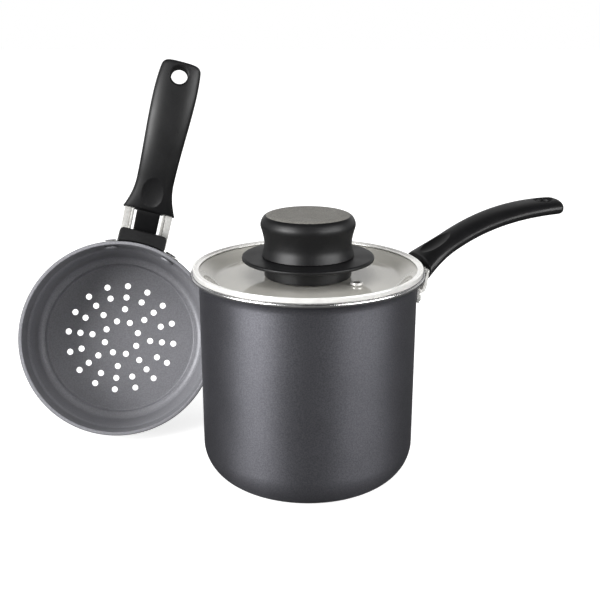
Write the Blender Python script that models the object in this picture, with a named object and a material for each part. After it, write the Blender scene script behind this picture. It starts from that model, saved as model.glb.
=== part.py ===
"""Couscous steamer: a deep saucepan, a glass lid with a knob, and a perforated steaming basket.

The pot stands on its base with the lid on it.  The basket stands behind it on the left, mouth
to the viewer and handle up.  In use the basket's lower wall drops into the pot's mouth.

Units are metres, +Z is up, and the origin is the centre of the pot's base on the table.
"""
import math

import bmesh
import bpy
from mathutils import Matrix, Vector

MM = 0.001

# Clearances
GAP = 0.3 * MM                     # between two pieces that touch on the real product
BORE_GAP = 0.3 * MM                # round a rivet, a screw or an eyelet in its hole
SEAT_GAP = 0.7 * MM                # round the basket's lower wall in the pot's throat

# Pot
POT_HEIGHT = 141.0 * MM            # base to the top of the lip
POT_WALL_R = 71.0 * MM             # outside of the upright wall
POT_FOOT_TAPER = 0.4 * MM          # how much narrower the wall is at the bottom corner
POT_WALL = 2.2 * MM
POT_FLOOR = 4.0 * MM
POT_CORNER_R = 24.0 * MM           # outside radius of the bottom corner
POT_FLARE_R = 9.0 * MM             # inside radius of the flared mouth
POT_FLARE_TURN = math.radians(75)  # how far the flare turns outwards
BASE_GROOVE_R = 38.0 * MM
BASE_GROOVE_W = 1.6 * MM
BASE_GROOVE_DEPTH = 0.6 * MM

# Steaming basket, measured above its own base
BASKET_HEIGHT = 55.0 * MM
BASKET_WALL_INSET = 1.2 * MM       # the wall above the shoulder is this much narrower than the pot's
BASKET_WALL_R = POT_WALL_R - BASKET_WALL_INSET
BASKET_WALL = 1.8 * MM
BASKET_BEAD = 2.6 * MM             # height of the rim's bead
BASKET_BEAD_PROUD = 0.8 * MM       # how far the bead stands out of the wall
BASKET_RIM_R = BASKET_WALL_R + BASKET_BEAD_PROUD
BASKET_SHOULDER_DROP = 28.0 * MM   # rim down to the shoulder that rests on the pot's flare
BASKET_SHOULDER_LENGTH = 3.0 * MM
BASKET_FOOT_TAPER = 3.4 * MM       # the lower wall draws in by this much
BASKET_CORNER_R = 7.0 * MM
BASKET_LEDGE_WIDTH = 11.2 * MM     # from the upper wall in to the sunken floor
BASKET_STEP_R = BASKET_WALL_R - BASKET_LEDGE_WIDTH
BASKET_STEP_HEIGHT = 3.8 * MM      # how far the floor lies below the ledge
HOLE_R = 2.35 * MM
HOLE_RINGS = (                     # ring radius, number of holes, first hole from the handle
    (13.1 * MM, 8, math.radians(-16.3)),
    (22.3 * MM, 8, math.radians(6.3)),
    (31.5 * MM, 16, math.radians(6.3)),
    (40.4 * MM, 16, math.radians(6.3)),
)

# Where the basket stands: its mouth looks up at the viewer and its handle leans right
BASKET_TILT = math.radians(18.7)   # of the basket's axis above the table
BASKET_TURN = math.radians(8.3)    # of the basket's axis to the right
BASKET_HANDLE_LEAN = math.radians(15.8)
BASKET_SET_IN = 3.8 * MM           # seen from the front the two walls lie over each other by this
BASKET_RIM_X = BASKET_SET_IN - POT_WALL_R - BASKET_WALL_R
BASKET_RIM_Y = 54.0 * MM

# Handles: both vessels carry the same grip on a riveted steel bracket
POT_HANDLE_TURN = math.radians(18.4)  # from +X towards +Y
POT_HANDLE_DROP = 3.5 * MM         # the pot's handle sits this much lower than the basket's
RIVET_DROP = 13.2 * MM             # below the rim
RIVET_ANGLE = math.radians(18.2)   # each side of the handle's centre line
RIVET_SHANK_R = 2.4 * MM
RIVET_HEAD_R = 5.3 * MM
RIVET_HEAD_HEIGHT = 1.9 * MM
RIVET_HEAD_GAP = 0.5 * MM          # the flat back of a head before the round wall
RIVET_TAIL_R = 4.2 * MM
RIVET_TAIL_HEIGHT = 0.8 * MM
STRAP_THICKNESS = 1.6 * MM
STRAP_HEIGHT = 9.6 * MM
STRAP_HALF_ANGLE = math.radians(23.8)
ARM_OFFSET = 14.0 * MM             # centre line of each arm beside the handle's centre line
ARM_WIDTH = 7.2 * MM
ARM_THICKNESS = 2.2 * MM
TANG_WIDTH = 5.2 * MM
TANG_DRAW_LENGTH = 9.0 * MM
TANG_DEPTH = 17.0 * MM             # how far the arms reach into the grip
BRIDGE_LENGTH = 6.0 * MM
POT_GRIP_STAND_OFF = 8.0 * MM      # pot wall to the face of the grip
BASKET_GRIP_STAND_OFF = 24.8 * MM
POT_FLARE_REACH = POT_WALL_R + POT_GRIP_STAND_OFF  # pot axis to the face of the grip
BASKET_FLARE_REACH = BASKET_WALL_R + BASKET_GRIP_STAND_OFF
GRIP_LENGTH = 103.5 * MM
GRIP_RISE = 34.9 * MM              # centre of the far end above the centre of the face
GRIP_NECK_HALF = 13.2 * MM
GRIP_SIDE_WALL = 1.5 * MM          # of the neck beside the bracket's pocket
TANG_OFFSET = GRIP_NECK_HALF - GRIP_SIDE_WALL - GAP - TANG_WIDTH / 2  # centre line of each arm in the grip
GRIP_NECK_AT = 22.0 * MM
GRIP_BELLY_HALF = 15.0 * MM
GRIP_BELLY_AT = 80.0 * MM
GRIP_END_HALF = 13.4 * MM
GRIP_FLARE_EXTRA = 6.0 * MM        # added to the neck's half width at the face
GRIP_FACE_THICKNESS = 12.6 * MM
GRIP_NECK_THICKNESS = 10.2 * MM
GRIP_END_THICKNESS = 10.4 * MM
GRIP_CORNER_R = 4.0 * MM
GRIP_EDGE_R = 2.4 * MM
GRIP_ROUNDNESS = 2.35              # exponent of the cross-section, 2 is an ellipse
HANG_HOLE_R = 5.8 * MM
HANG_HOLE_FROM_END = 9.8 * MM
HANG_RECESS_R = 7.6 * MM
HANG_RECESS_DEPTH = 1.2 * MM
THUMB_HALF_LENGTH = 11.5 * MM
THUMB_HALF_WIDTH = 8.8 * MM
THUMB_DEPTH = 1.3 * MM
THUMB_BULGE = 4.0 * MM             # half height of the ellipsoid that scoops it
THUMB_AT = 16.5 * MM               # centre of the thumb rest from the face
SCREW_AT = 13.0 * MM               # grip screw from the face
SCREW_SHANK_R = 1.9 * MM
SCREW_HEAD_R = 3.5 * MM
SCREW_HEAD_HEIGHT = 1.8 * MM
SCREW_SUNK = 1.2 * MM              # the head's face lies this far inside the underside
SCREW_REACH = 3.0 * MM             # above the grip's mid-line
CROSS_WIDTH = 1.0 * MM             # the screw's cross slot
CROSS_LENGTH = 4.0 * MM
CROSS_DEPTH = 1.0 * MM
GUARD_SIDE_GAP = 0.8 * MM
GUARD_HALF = ARM_OFFSET - ARM_WIDTH / 2 - GUARD_SIDE_GAP  # half width of the heat guard between the arms
GUARD_DEPTH = 4.9 * MM
GUARD_HEIGHT = 12.4 * MM
GUARD_DROP = 4.3 * MM              # the pot's guard lies this far below the handle's frame
GUARD_CAP_SHORT = 0.3 * MM
GUARD_CAP_HALF = ARM_OFFSET + ARM_WIDTH / 2 - GUARD_CAP_SHORT  # the basket's guard covers the arms' roots
GUARD_CAP_REACH = 8.7 * MM
GUARD_CAP_HEIGHT = 8.6 * MM
TONGUE_INSET = 1.0 * MM
TONGUE_HALF = GUARD_HALF - TONGUE_INSET
TONGUE_THICKNESS = 4.0 * MM
# An arm's curve: its level run out of the wall, its run back from the grip's face, and how far it
# sags there.  With no sag it meets the face along the grip's own slope.
POT_ARM = (6.5 * MM, 3.4 * MM, 2.4 * MM)
BASKET_ARM = (10.0 * MM, 6.6 * MM, None)

# Lid
BAND_OVERHANG = 4.0 * MM           # the band stands this far out over the pot's wall
BAND_R = POT_WALL_R + BAND_OVERHANG
BAND_WALL = 1.8 * MM
BAND_HEIGHT = 3.5 * MM
BAND_LIP_WIDTH = 2.1 * MM          # the crimped lip over the glass edge
BAND_LIP_DROP = 0.9 * MM
BAND_LIP = 0.8 * MM
GLASS = 3.0 * MM
GLASS_DROP = 7.6 * MM              # glass surface below the top of the band
GLASS_EDGE = 1.4 * MM              # thickness of the glass where it is ground for the band
GLASS_BORDER = 16.0 * MM           # the glass bends up within this of the band's outside
GLASS_FLAT_R = BAND_R - GLASS_BORDER
VENT_AT_R = 37.0 * MM
VENT_TURN = math.radians(-34.0)
VENT_R = 4.0 * MM
VENT_BORE_R = 2.2 * MM
VENT_TUBE_R = 2.9 * MM
VENT_PROUD = 2.0 * MM
VENT_FLANGE = 1.0 * MM
KNOB_TOP_Z_ABOVE_GLASS = 42.0 * MM
KNOB_CAP_R = 31.1 * MM
KNOB_CAP_DROP = 6.6 * MM           # the cap is widest this far below its top
KNOB_WAIST_R = 28.2 * MM
KNOB_WAIST_RISE = 7.5 * MM         # of the waist above the knob's underside
KNOB_SKIRT_R = 30.0 * MM
KNOB_HEIGHT = 27.3 * MM
GUARD_DISC_R = 43.0 * MM
GUARD_DISC_THICKNESS = 2.6 * MM
KNOB_FOOT_R = 28.4 * MM
KNOB_SCREW_R = 2.2 * MM
KNOB_SCREW_HEAD_R = 5.5 * MM
KNOB_SCREW_HEAD_HEIGHT = 2.3 * MM
KNOB_SCREW_REACH = 10.0 * MM       # into the knob
INSERT_R = 4.2 * MM
INSERT_LENGTH = 10.0 * MM
SEAL_R = 24.0 * MM
SEAL_THICKNESS = 0.8 * MM
WASHER_R = 9.0 * MM
WASHER_THICKNESS = 1.0 * MM

# Cutting tools
DRILL_HALF = 6.0 * MM              # half length of the rivet and screw drills
GUARD_BACK = (-40.0 * MM, 10.0 * MM)  # heights of the round tool behind a heat guard

# Facets
TURN_STEPS = 36
BACK_STEPS = 72                    # of the round tools behind the heat guards
KNOB_STEPS = 28
SMALL_STEPS = 16
RIVET_STEPS = 12
HOLE_STEPS = 8


# Building blocks

def srgb(hex_colour):
    """Turn a hex colour into linear red, green, blue and full alpha."""
    values = [int(hex_colour[i:i + 2], 16) / 255 for i in (0, 2, 4)]
    linear = [v / 12.92 if v <= 0.04045 else ((v + 0.055) / 1.055) ** 2.4 for v in values]
    return (*linear, 1.0)


def material(name, hex_colour, roughness, metallic=0.0, transmission=0.0):
    """A plain Principled material."""
    mat = bpy.data.materials.new(name)
    mat.use_nodes = True
    shader = mat.node_tree.nodes["Principled BSDF"]
    shader.inputs["Base Color"].default_value = srgb(hex_colour)
    shader.inputs["Roughness"].default_value = roughness
    shader.inputs["Metallic"].default_value = metallic
    shader.inputs["Transmission Weight"].default_value = transmission
    mat.diffuse_color = srgb(hex_colour)
    return mat


def add_empty(name, matrix):
    """An empty that carries the pieces of one vessel or handle."""
    empty = bpy.data.objects.new(name, None)
    bpy.context.scene.collection.objects.link(empty)
    empty.matrix_world = matrix
    return empty


def finish_mesh(name, mesh_data, mat, parent, sharp=math.radians(32)):
    """Close the mesh, point its faces outwards, shade it smooth and add it to the scene."""
    bmesh.ops.remove_doubles(mesh_data, verts=mesh_data.verts, dist=1e-7)
    bmesh.ops.recalc_face_normals(mesh_data, faces=mesh_data.faces)
    mesh = bpy.data.meshes.new(name)
    mesh_data.to_mesh(mesh)
    mesh_data.free()
    mesh.shade_smooth()
    mesh.set_sharp_from_angle(angle=sharp)
    if mat is not None:
        mesh.materials.append(mat)
    obj = bpy.data.objects.new(name, mesh)
    bpy.context.scene.collection.objects.link(obj)
    obj.parent = parent
    return obj


def turned(name, profile, mat=None, parent=None, steps=TURN_STEPS, ring=False):
    """Spin a profile of (radius, height) points round Z.

    The profile runs down the outside first.  A ring's profile closes on itself, and any other
    profile starts and ends on the axis.
    """
    mesh_data = bmesh.new()
    verts = [mesh_data.verts.new((r, 0, z)) for r, z in profile]
    pairs = list(zip(verts, verts[1:]))
    if ring:
        pairs.append((verts[-1], verts[0]))
    edges = [mesh_data.edges.new(pair) for pair in pairs]
    bmesh.ops.spin(mesh_data, geom=verts + edges, cent=(0, 0, 0), axis=(0, 0, 1),
                   angle=math.tau, steps=steps, use_merge=True, use_duplicate=False)
    return finish_mesh(name, mesh_data, mat, parent)


def lofted(name, rings, mat=None, parent=None):
    """Skin a row of closed rings, each with the same number of points, and cap both ends."""
    mesh_data = bmesh.new()
    rows = [[mesh_data.verts.new(point) for point in ring] for ring in rings]
    count = len(rows[0])
    for low, high in zip(rows, rows[1:]):
        for i in range(count):
            j = (i + 1) % count
            mesh_data.faces.new((low[i], low[j], high[j], high[i]))
    mesh_data.faces.new(rows[0])
    mesh_data.faces.new(rows[-1])
    return finish_mesh(name, mesh_data, mat, parent)


def as_cutter(obj):
    """Mark a shape as a cutting tool only."""
    obj.hide_render = True
    obj.display_type = "WIRE"
    return obj


def boolean(target, tool, operation):
    """Add a live Boolean of a tool object to a target."""
    as_cutter(tool)
    modifier = target.modifiers.new(tool.name, "BOOLEAN")
    modifier.object = tool
    modifier.operation = operation
    modifier.solver = "EXACT"


def arc(centre, radius, start, end, count):
    """Points of an arc in the profile plane, angles from the outward direction."""
    steps = [start + (end - start) * i / (count - 1) for i in range(count)]
    return [(centre[0] + radius * math.cos(a), centre[1] + radius * math.sin(a)) for a in steps]


def rod(name, radius, low, high, parent, steps=SMALL_STEPS, mat=None):
    """A plain upright cylinder."""
    profile = [(0, high), (radius, high), (radius, low), (0, low)]
    return turned(name, profile, mat, parent, steps)


def bezier(points, t):
    """A point of a cubic Bezier curve."""
    weights = ((1 - t) ** 3, 3 * t * (1 - t) ** 2, 3 * t * t * (1 - t), t ** 3)
    return tuple(sum(w * p[k] for w, p in zip(weights, points)) for k in range(2))


def rounded_section(half_width, half_height, chamfer):
    """Eight points of a rectangle with cut corners, as (sideways, up)."""
    w, h, c = half_width, half_height, chamfer
    return [(w - c, h), (-w + c, h), (-w, h - c), (-w, -h + c),
            (-w + c, -h), (w - c, -h), (w, -h + c), (w, h - c)]


# Vessels

def pot_throat_z():
    """Height at which the pot's upright wall turns into the flare."""
    return POT_HEIGHT - POT_FLARE_R * math.sin(POT_FLARE_TURN)


def pot_outside():
    """The pot's outside from the lip to the bottom corner."""
    flare_centre = (POT_WALL_R - POT_WALL + POT_FLARE_R, pot_throat_z())
    lip_angle = math.pi - POT_FLARE_TURN
    lip_r = flare_centre[0] + POT_FLARE_R * math.cos(lip_angle)
    lip = [(lip_r + 0.2 * POT_WALL, POT_HEIGHT),
           (lip_r + 0.4 * POT_WALL, POT_HEIGHT - 0.3 * POT_WALL),
           (lip_r + 0.42 * POT_WALL, POT_HEIGHT - 0.6 * POT_WALL)]
    flare = arc(flare_centre, POT_FLARE_R - POT_WALL, lip_angle, math.pi, 4)
    corner_centre = (POT_WALL_R - POT_FOOT_TAPER - POT_CORNER_R, POT_CORNER_R)
    corner = arc(corner_centre, POT_CORNER_R, 0, -math.pi / 2, 7)
    return lip + flare + corner


def pot_profile():
    """Deep drawn pot: flared mouth, upright wall, large bottom corner and a grooved base."""
    flare_centre = (POT_WALL_R - POT_WALL + POT_FLARE_R, pot_throat_z())
    inner_r = POT_CORNER_R - POT_WALL
    corner_centre = (POT_WALL_R - POT_FOOT_TAPER - POT_CORNER_R, POT_FLOOR + inner_r)
    corner = arc(corner_centre, inner_r, -math.pi / 2, 0, 5)
    flare = arc(flare_centre, POT_FLARE_R, math.pi, math.pi - POT_FLARE_TURN, 4)
    groove = [(BASE_GROOVE_R + BASE_GROOVE_W / 2, 0),
              (BASE_GROOVE_R + BASE_GROOVE_W / 4, BASE_GROOVE_DEPTH),
              (BASE_GROOVE_R - BASE_GROOVE_W / 4, BASE_GROOVE_DEPTH),
              (BASE_GROOVE_R - BASE_GROOVE_W / 2, 0)]
    return [(0, POT_FLOOR)] + corner + flare + pot_outside() + groove + [(0, 0)]


def basket_profile():
    """Steaming basket: beaded rim, shoulder that seats in the pot, and a sunken floor."""
    shoulder_z = BASKET_HEIGHT - BASKET_SHOULDER_DROP
    lower_top_r = POT_WALL_R - POT_WALL - SEAT_GAP
    lower_foot_r = lower_top_r - BASKET_FOOT_TAPER
    lower_top_z = shoulder_z - BASKET_SHOULDER_LENGTH
    ledge_z = BASKET_STEP_HEIGHT
    corner_centre = (lower_foot_r - BASKET_CORNER_R, ledge_z + BASKET_CORNER_R)
    outside = [(BASKET_WALL_R + 0.1 * BASKET_WALL, BASKET_HEIGHT),
               (BASKET_RIM_R, BASKET_HEIGHT - 0.25 * BASKET_BEAD),
               (BASKET_RIM_R, BASKET_HEIGHT - 0.75 * BASKET_BEAD),
               (BASKET_WALL_R, BASKET_HEIGHT - BASKET_BEAD),
               (BASKET_WALL_R, shoulder_z),
               (lower_top_r, lower_top_z)]
    outside += arc(corner_centre, BASKET_CORNER_R, 0, -math.pi / 2, 4)
    outside += [(BASKET_STEP_R + 0.4 * MM, ledge_z),
                (BASKET_STEP_R - 0.4 * MM, 0),
                (0, 0)]
    inner_r = BASKET_CORNER_R - BASKET_WALL
    inside = [(0, BASKET_WALL),
              (BASKET_STEP_R - BASKET_WALL - 1.0 * MM, BASKET_WALL),
              (BASKET_STEP_R - BASKET_WALL + 0.2 * MM, ledge_z + BASKET_WALL - 0.5 * MM),
              (BASKET_STEP_R - BASKET_WALL + 0.8 * MM, ledge_z + BASKET_WALL)]
    inside += arc(corner_centre, inner_r, -math.pi / 2, 0, 4)
    inside += [(lower_top_r - BASKET_WALL, lower_top_z + 0.4 * MM),
               (BASKET_WALL_R - BASKET_WALL, shoulder_z + 0.4 * MM),
               (BASKET_WALL_R - BASKET_WALL, BASKET_HEIGHT - 0.8 * MM),
               (BASKET_WALL_R - BASKET_WALL + 0.6 * MM, BASKET_HEIGHT)]
    return inside + outside


def floor_holes(parent):
    """One cutting tool with a prism for every steam hole of the basket's floor."""
    mesh_data = bmesh.new()
    for ring_r, count, first in HOLE_RINGS:
        for i in range(count):
            angle = first + math.tau * i / count
            place = Matrix.Translation((ring_r * math.cos(angle), ring_r * math.sin(angle),
                                        BASKET_WALL / 2))
            bmesh.ops.create_cone(mesh_data, cap_ends=True, segments=HOLE_STEPS, radius1=HOLE_R,
                                  radius2=HOLE_R, depth=4 * BASKET_WALL, matrix=place)
    return finish_mesh("basket_floor_holes", mesh_data, None, parent)


def cut_rivet_holes(vessel, rim_z, wall_r, name, parent):
    """Drill the two rivet holes through a vessel's wall, beside the handle's centre line."""
    for side in (-1, 1):
        drill = rod(f"{name}_drill_{side}", RIVET_SHANK_R + BORE_GAP, -DRILL_HALF, DRILL_HALF,
                    parent, HOLE_STEPS)
        drill.matrix_local = rivet_place(side, wall_r, rim_z)
        boolean(vessel, drill, "DIFFERENCE")


# Handle

def rivet_place(side, radius, rim_z=0.0):
    """Matrix that turns a piece's +Z to point outwards from the wall at a rivet."""
    turn = Matrix.Rotation(side * RIVET_ANGLE, 4, "Z")
    out = Matrix.Translation((radius, 0, rim_z - RIVET_DROP)) @ Matrix.Rotation(math.pi / 2, 4, "Y")
    return turn @ out


def grip_spine(reach, t):
    """Mid-line of the grip as (distance from the axis, height above the handle's frame)."""
    first = (reach + 0.249 * GRIP_LENGTH, 0.57 * GRIP_RISE)
    second = (reach + 0.523 * GRIP_LENGTH, GRIP_RISE)
    return bezier(((reach, 0), first, second, (reach + GRIP_LENGTH, GRIP_RISE)), t)


def grip_point(reach, distance):
    """Point of the mid-line a given level distance from the grip's face, and its slope."""
    low, high = 0.0, 1.0
    for _ in range(40):
        middle = (low + high) / 2
        if grip_spine(reach, middle)[0] - reach < distance:
            low = middle
        else:
            high = middle
    before = grip_spine(reach, max(low - 0.01, 0))
    after = grip_spine(reach, min(low + 0.01, 1))
    slope = math.atan2(after[1] - before[1], after[0] - before[0])
    return grip_spine(reach, low), slope


def smooth_step(value):
    """Smooth rise from 0 to 1."""
    value = min(max(value, 0.0), 1.0)
    return value * value * (3 - 2 * value)


def grip_half_width(distance):
    """Half width of the grip: flared face, narrow neck, full belly and slightly drawn end."""
    belly = smooth_step((distance - GRIP_NECK_AT) / (GRIP_BELLY_AT - GRIP_NECK_AT))
    width = GRIP_NECK_HALF + (GRIP_BELLY_HALF - GRIP_NECK_HALF) * belly
    past = max(distance - GRIP_BELLY_AT, 0) / (GRIP_LENGTH - GRIP_BELLY_AT)
    width -= (GRIP_BELLY_HALF - GRIP_END_HALF) * past ** 2
    flare = max(1 - distance / GRIP_NECK_AT, 0)
    width += GRIP_FLARE_EXTRA * flare ** 2.1
    left = GRIP_LENGTH - distance
    if left < GRIP_CORNER_R:
        width -= GRIP_CORNER_R - math.sqrt(GRIP_CORNER_R ** 2 - (GRIP_CORNER_R - left) ** 2)
    return width


def grip_half_thickness(distance):
    """Half thickness of the grip, square to its mid-line."""
    neck = smooth_step(distance / GRIP_NECK_AT)
    end = max(distance - GRIP_NECK_AT, 0) / (GRIP_LENGTH - GRIP_NECK_AT)
    thickness = GRIP_FACE_THICKNESS + (GRIP_NECK_THICKNESS - GRIP_FACE_THICKNESS) * neck
    thickness += (GRIP_END_THICKNESS - GRIP_NECK_THICKNESS) * end
    left = GRIP_LENGTH - distance
    if left < GRIP_EDGE_R:
        round_off = GRIP_EDGE_R - math.sqrt(GRIP_EDGE_R ** 2 - (GRIP_EDGE_R - left) ** 2)
        thickness -= 2 * round_off
    return thickness / 2


def grip_section(reach, distance, count=16):
    """One upright cross-section of the grip, a rounded oval."""
    (out, up), slope = grip_point(reach, distance)
    half_width = grip_half_width(distance)
    half_height = grip_half_thickness(distance) / math.cos(slope)
    points = []
    for i in range(count):
        angle = math.tau * (i + 0.5) / count
        side = math.copysign(abs(math.cos(angle)) ** (2 / GRIP_ROUNDNESS), math.cos(angle))
        rise = math.copysign(abs(math.sin(angle)) ** (2 / GRIP_ROUNDNESS), math.sin(angle))
        points.append((out, half_width * side, up + half_height * rise))
    return points


def arm_curve(root, reach, arm):
    """Control points of an arm's mid-line from the strap on the wall to the grip's face."""
    face, slope = grip_point(reach, 0)
    lead, tail, sag = arm
    drop = tail * math.tan(slope) if sag is None else sag
    first = (root + lead, -RIVET_DROP - 0.5 * MM)
    second = (face[0] - tail, face[1] - drop)
    return ((root, -RIVET_DROP), first, second, face)


def arm_stations(root, reach, arm):
    """Stations along an arm: place, slope, sideways offset and width."""
    control = arm_curve(root, reach, arm)
    stations = []
    count = 7
    for i in range(count):
        t = i / count
        here = bezier(control, t)
        ahead = bezier(control, t + 0.01)
        slope = math.atan2(ahead[1] - here[1], ahead[0] - here[0])
        stations.append((here, slope, ARM_OFFSET, ARM_WIDTH))
    for i in range(5):
        distance = TANG_DEPTH * i / 4
        here, slope = grip_point(reach, distance)
        draw = min(distance / TANG_DRAW_LENGTH, 1.0)
        offset = ARM_OFFSET + (TANG_OFFSET - ARM_OFFSET) * draw
        width = ARM_WIDTH + (TANG_WIDTH - ARM_WIDTH) * smooth_step(draw)
        stations.append((here, slope, offset, width))
    return stations


def make_arm(name, side, stations, parent, extra=0.0):
    """One arm of the bracket, a bent strip that draws in where it enters the grip."""
    rings = []
    for k, ((out, up), slope, offset, width) in enumerate(stations):
        last = extra if k == len(stations) - 1 else 0.0
        section = rounded_section(width / 2 + extra, ARM_THICKNESS / 2 + extra, 0.4 * MM)
        ring = []
        for across, rise in section:
            ring.append((out + last - rise * math.sin(slope), side * offset + across,
                         up + rise * math.cos(slope)))
        rings.append(ring)
    return lofted(name, rings, None, parent)


def make_bridge(name, reach, parent, extra=0.0):
    """Plate that joins the two arms inside the grip and takes the screw."""
    rings = []
    for across in (-TANG_OFFSET, TANG_OFFSET):
        (out, up), slope = grip_point(reach, SCREW_AT)
        section = rounded_section(BRIDGE_LENGTH / 2 + extra, ARM_THICKNESS / 2 + extra, 0.2 * MM)
        ring = []
        for along, rise in section:
            ring.append((out + along * math.cos(slope) - rise * math.sin(slope), across,
                         up + along * math.sin(slope) + rise * math.cos(slope)))
        rings.append(ring)
    return lofted(name, rings, None, parent)


def make_strap(name, wall_r, mat, parent):
    """Steel strap that lies along the wall, with round ends."""
    middle_r = wall_r + GAP + STRAP_THICKNESS / 2
    half = STRAP_HEIGHT / 2
    flat_angle = STRAP_HALF_ANGLE - half / middle_r
    angles = [flat_angle + math.sin(a) * half / middle_r for a in (0, 0.5, 0.9, 1.2, 1.42)]
    heights = [half * math.cos(a) for a in (0, 0.5, 0.9, 1.2, 1.42)]
    inner = [flat_angle * k / 5 for k in range(-4, 5)]
    rows = [(-a, h) for a, h in zip(reversed(angles), reversed(heights))]
    rows += [(a, half) for a in inner] + list(zip(angles, heights))
    rings = []
    for angle, half_height in rows:
        ring = []
        for thick, up in rounded_section(STRAP_THICKNESS / 2, half_height, 0.3 * MM):
            radius = middle_r + thick
            ring.append((radius * math.cos(angle), radius * math.sin(angle), up - RIVET_DROP))
        rings.append(ring)
    return lofted(name, rings, mat, parent)


def screw_matrix(reach):
    """Place of the grip screw: +Z runs up through the grip, square to its mid-line."""
    (out, up), slope = grip_point(reach, SCREW_AT)
    return Matrix.Translation((out, 0, up)) @ Matrix.Rotation(-slope, 4, "Y")


def make_bracket(prefix, wall_r, reach, arm, mat, parent):
    """The riveted bracket: strap, two arms and the bridge, joined into one pressing."""
    name = f"{prefix}_handle_bracket"
    strap = make_strap(name, wall_r, mat, parent)
    stations = arm_stations(wall_r + GAP + STRAP_THICKNESS / 2, reach, arm)
    for side in (-1, 1):
        boolean(strap, make_arm(f"{name}_arm_{side}", side, stations, parent), "UNION")
    boolean(strap, make_bridge(f"{name}_bridge", reach, parent), "UNION")
    for side in (-1, 1):
        drill = rod(f"{name}_drill_{side}", RIVET_SHANK_R + BORE_GAP, -DRILL_HALF, DRILL_HALF,
                    parent, HOLE_STEPS)
        drill.matrix_local = rivet_place(side, wall_r)
        boolean(strap, drill, "DIFFERENCE")
    screw_drill = rod(f"{name}_screw_drill", SCREW_SHANK_R + BORE_GAP, -DRILL_HALF, DRILL_HALF,
                      parent, HOLE_STEPS)
    screw_drill.matrix_local = screw_matrix(reach)
    boolean(strap, screw_drill, "DIFFERENCE")
    return strap


def make_rivets(prefix, wall_r, wall, mat, parent):
    """Two rivets: a low domed head inside the vessel and a flat one outside the strap."""
    inner_r = wall_r - wall
    head_z = inner_r * math.cos(RIVET_HEAD_R / inner_r) - RIVET_HEAD_GAP - wall_r
    tail_z = 2 * GAP + STRAP_THICKNESS
    dome = [(RIVET_HEAD_R * math.cos(a), head_z - 0.35 * RIVET_HEAD_HEIGHT
             - 0.65 * RIVET_HEAD_HEIGHT * math.sin(a)) for a in (0, 0.8)]
    profile = [(0, tail_z + RIVET_TAIL_HEIGHT),
               (RIVET_TAIL_R - 0.5 * MM, tail_z + RIVET_TAIL_HEIGHT),
               (RIVET_TAIL_R, tail_z + RIVET_TAIL_HEIGHT - 0.5 * MM),
               (RIVET_TAIL_R, tail_z),
               (RIVET_SHANK_R, tail_z),
               (RIVET_SHANK_R, head_z),
               (RIVET_HEAD_R, head_z)] + dome + [(0, head_z - RIVET_HEAD_HEIGHT)]
    for side, word in ((-1, "right"), (1, "left")):
        rivet = turned(f"{prefix}_handle_rivet_{word}", profile, mat, parent, RIVET_STEPS)
        rivet.matrix_local = rivet_place(side, wall_r)


def make_grip(prefix, root, reach, arm, mat, parent):
    """Moulded grip: lofted body, pocket for the bracket, thumb rest, hang hole, screw hole."""
    name = f"{prefix}_handle_grip"
    distances = [GRIP_NECK_AT * share for share in (0, 0.08, 0.17, 0.28, 0.42, 0.6, 0.8, 1)]
    body = GRIP_LENGTH - GRIP_CORNER_R - GRIP_NECK_AT
    distances += [GRIP_NECK_AT + body * share for share in (0.14, 0.29, 0.43, 0.57, 0.71, 0.86, 1)]
    distances += [GRIP_LENGTH - GRIP_CORNER_R * share for share in (0.5, 0.2, 0.03)]
    grip = lofted(name, [grip_section(reach, d) for d in distances], mat, parent)
    stations = arm_stations(root, reach, arm)[5:]
    for side in (-1, 1):
        boolean(grip, make_arm(f"{name}_pocket_{side}", side, stations, parent, GAP), "DIFFERENCE")
    boolean(grip, make_bridge(f"{name}_bridge_pocket", reach, parent, GAP), "DIFFERENCE")
    (out, up), slope = grip_point(reach, GRIP_LENGTH - HANG_HOLE_FROM_END)
    top = grip_half_thickness(GRIP_LENGTH - HANG_HOLE_FROM_END)
    hang = [(0, top + 4 * MM), (HANG_RECESS_R + 3 * MM, top + 4 * MM), (HANG_RECESS_R, top),
            (HANG_HOLE_R, top - HANG_RECESS_DEPTH), (HANG_HOLE_R, -12 * MM), (0, -12 * MM)]
    hang_tool = turned(f"{name}_hang_hole", hang, None, parent, SMALL_STEPS)
    hang_tool.matrix_local = Matrix.Translation((out, 0, up)) @ Matrix.Rotation(-slope, 4, "Y")
    boolean(grip, hang_tool, "DIFFERENCE")
    boolean(grip, thumb_tool(name, reach, parent), "DIFFERENCE")
    bore_low = -grip_half_thickness(SCREW_AT) - 8 * MM
    head_z = SCREW_SUNK + SCREW_HEAD_HEIGHT - grip_half_thickness(SCREW_AT)
    bore = [(0, SCREW_REACH + BORE_GAP), (SCREW_SHANK_R + BORE_GAP, SCREW_REACH + BORE_GAP),
            (SCREW_SHANK_R + BORE_GAP, head_z + GAP), (SCREW_HEAD_R + BORE_GAP, head_z + GAP),
            (SCREW_HEAD_R + BORE_GAP, bore_low), (0, bore_low)]
    screw_bore = turned(f"{name}_screw_bore", bore, None, parent, 16)
    screw_bore.matrix_local = screw_matrix(reach)
    boolean(grip, screw_bore, "DIFFERENCE")
    return grip


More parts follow.
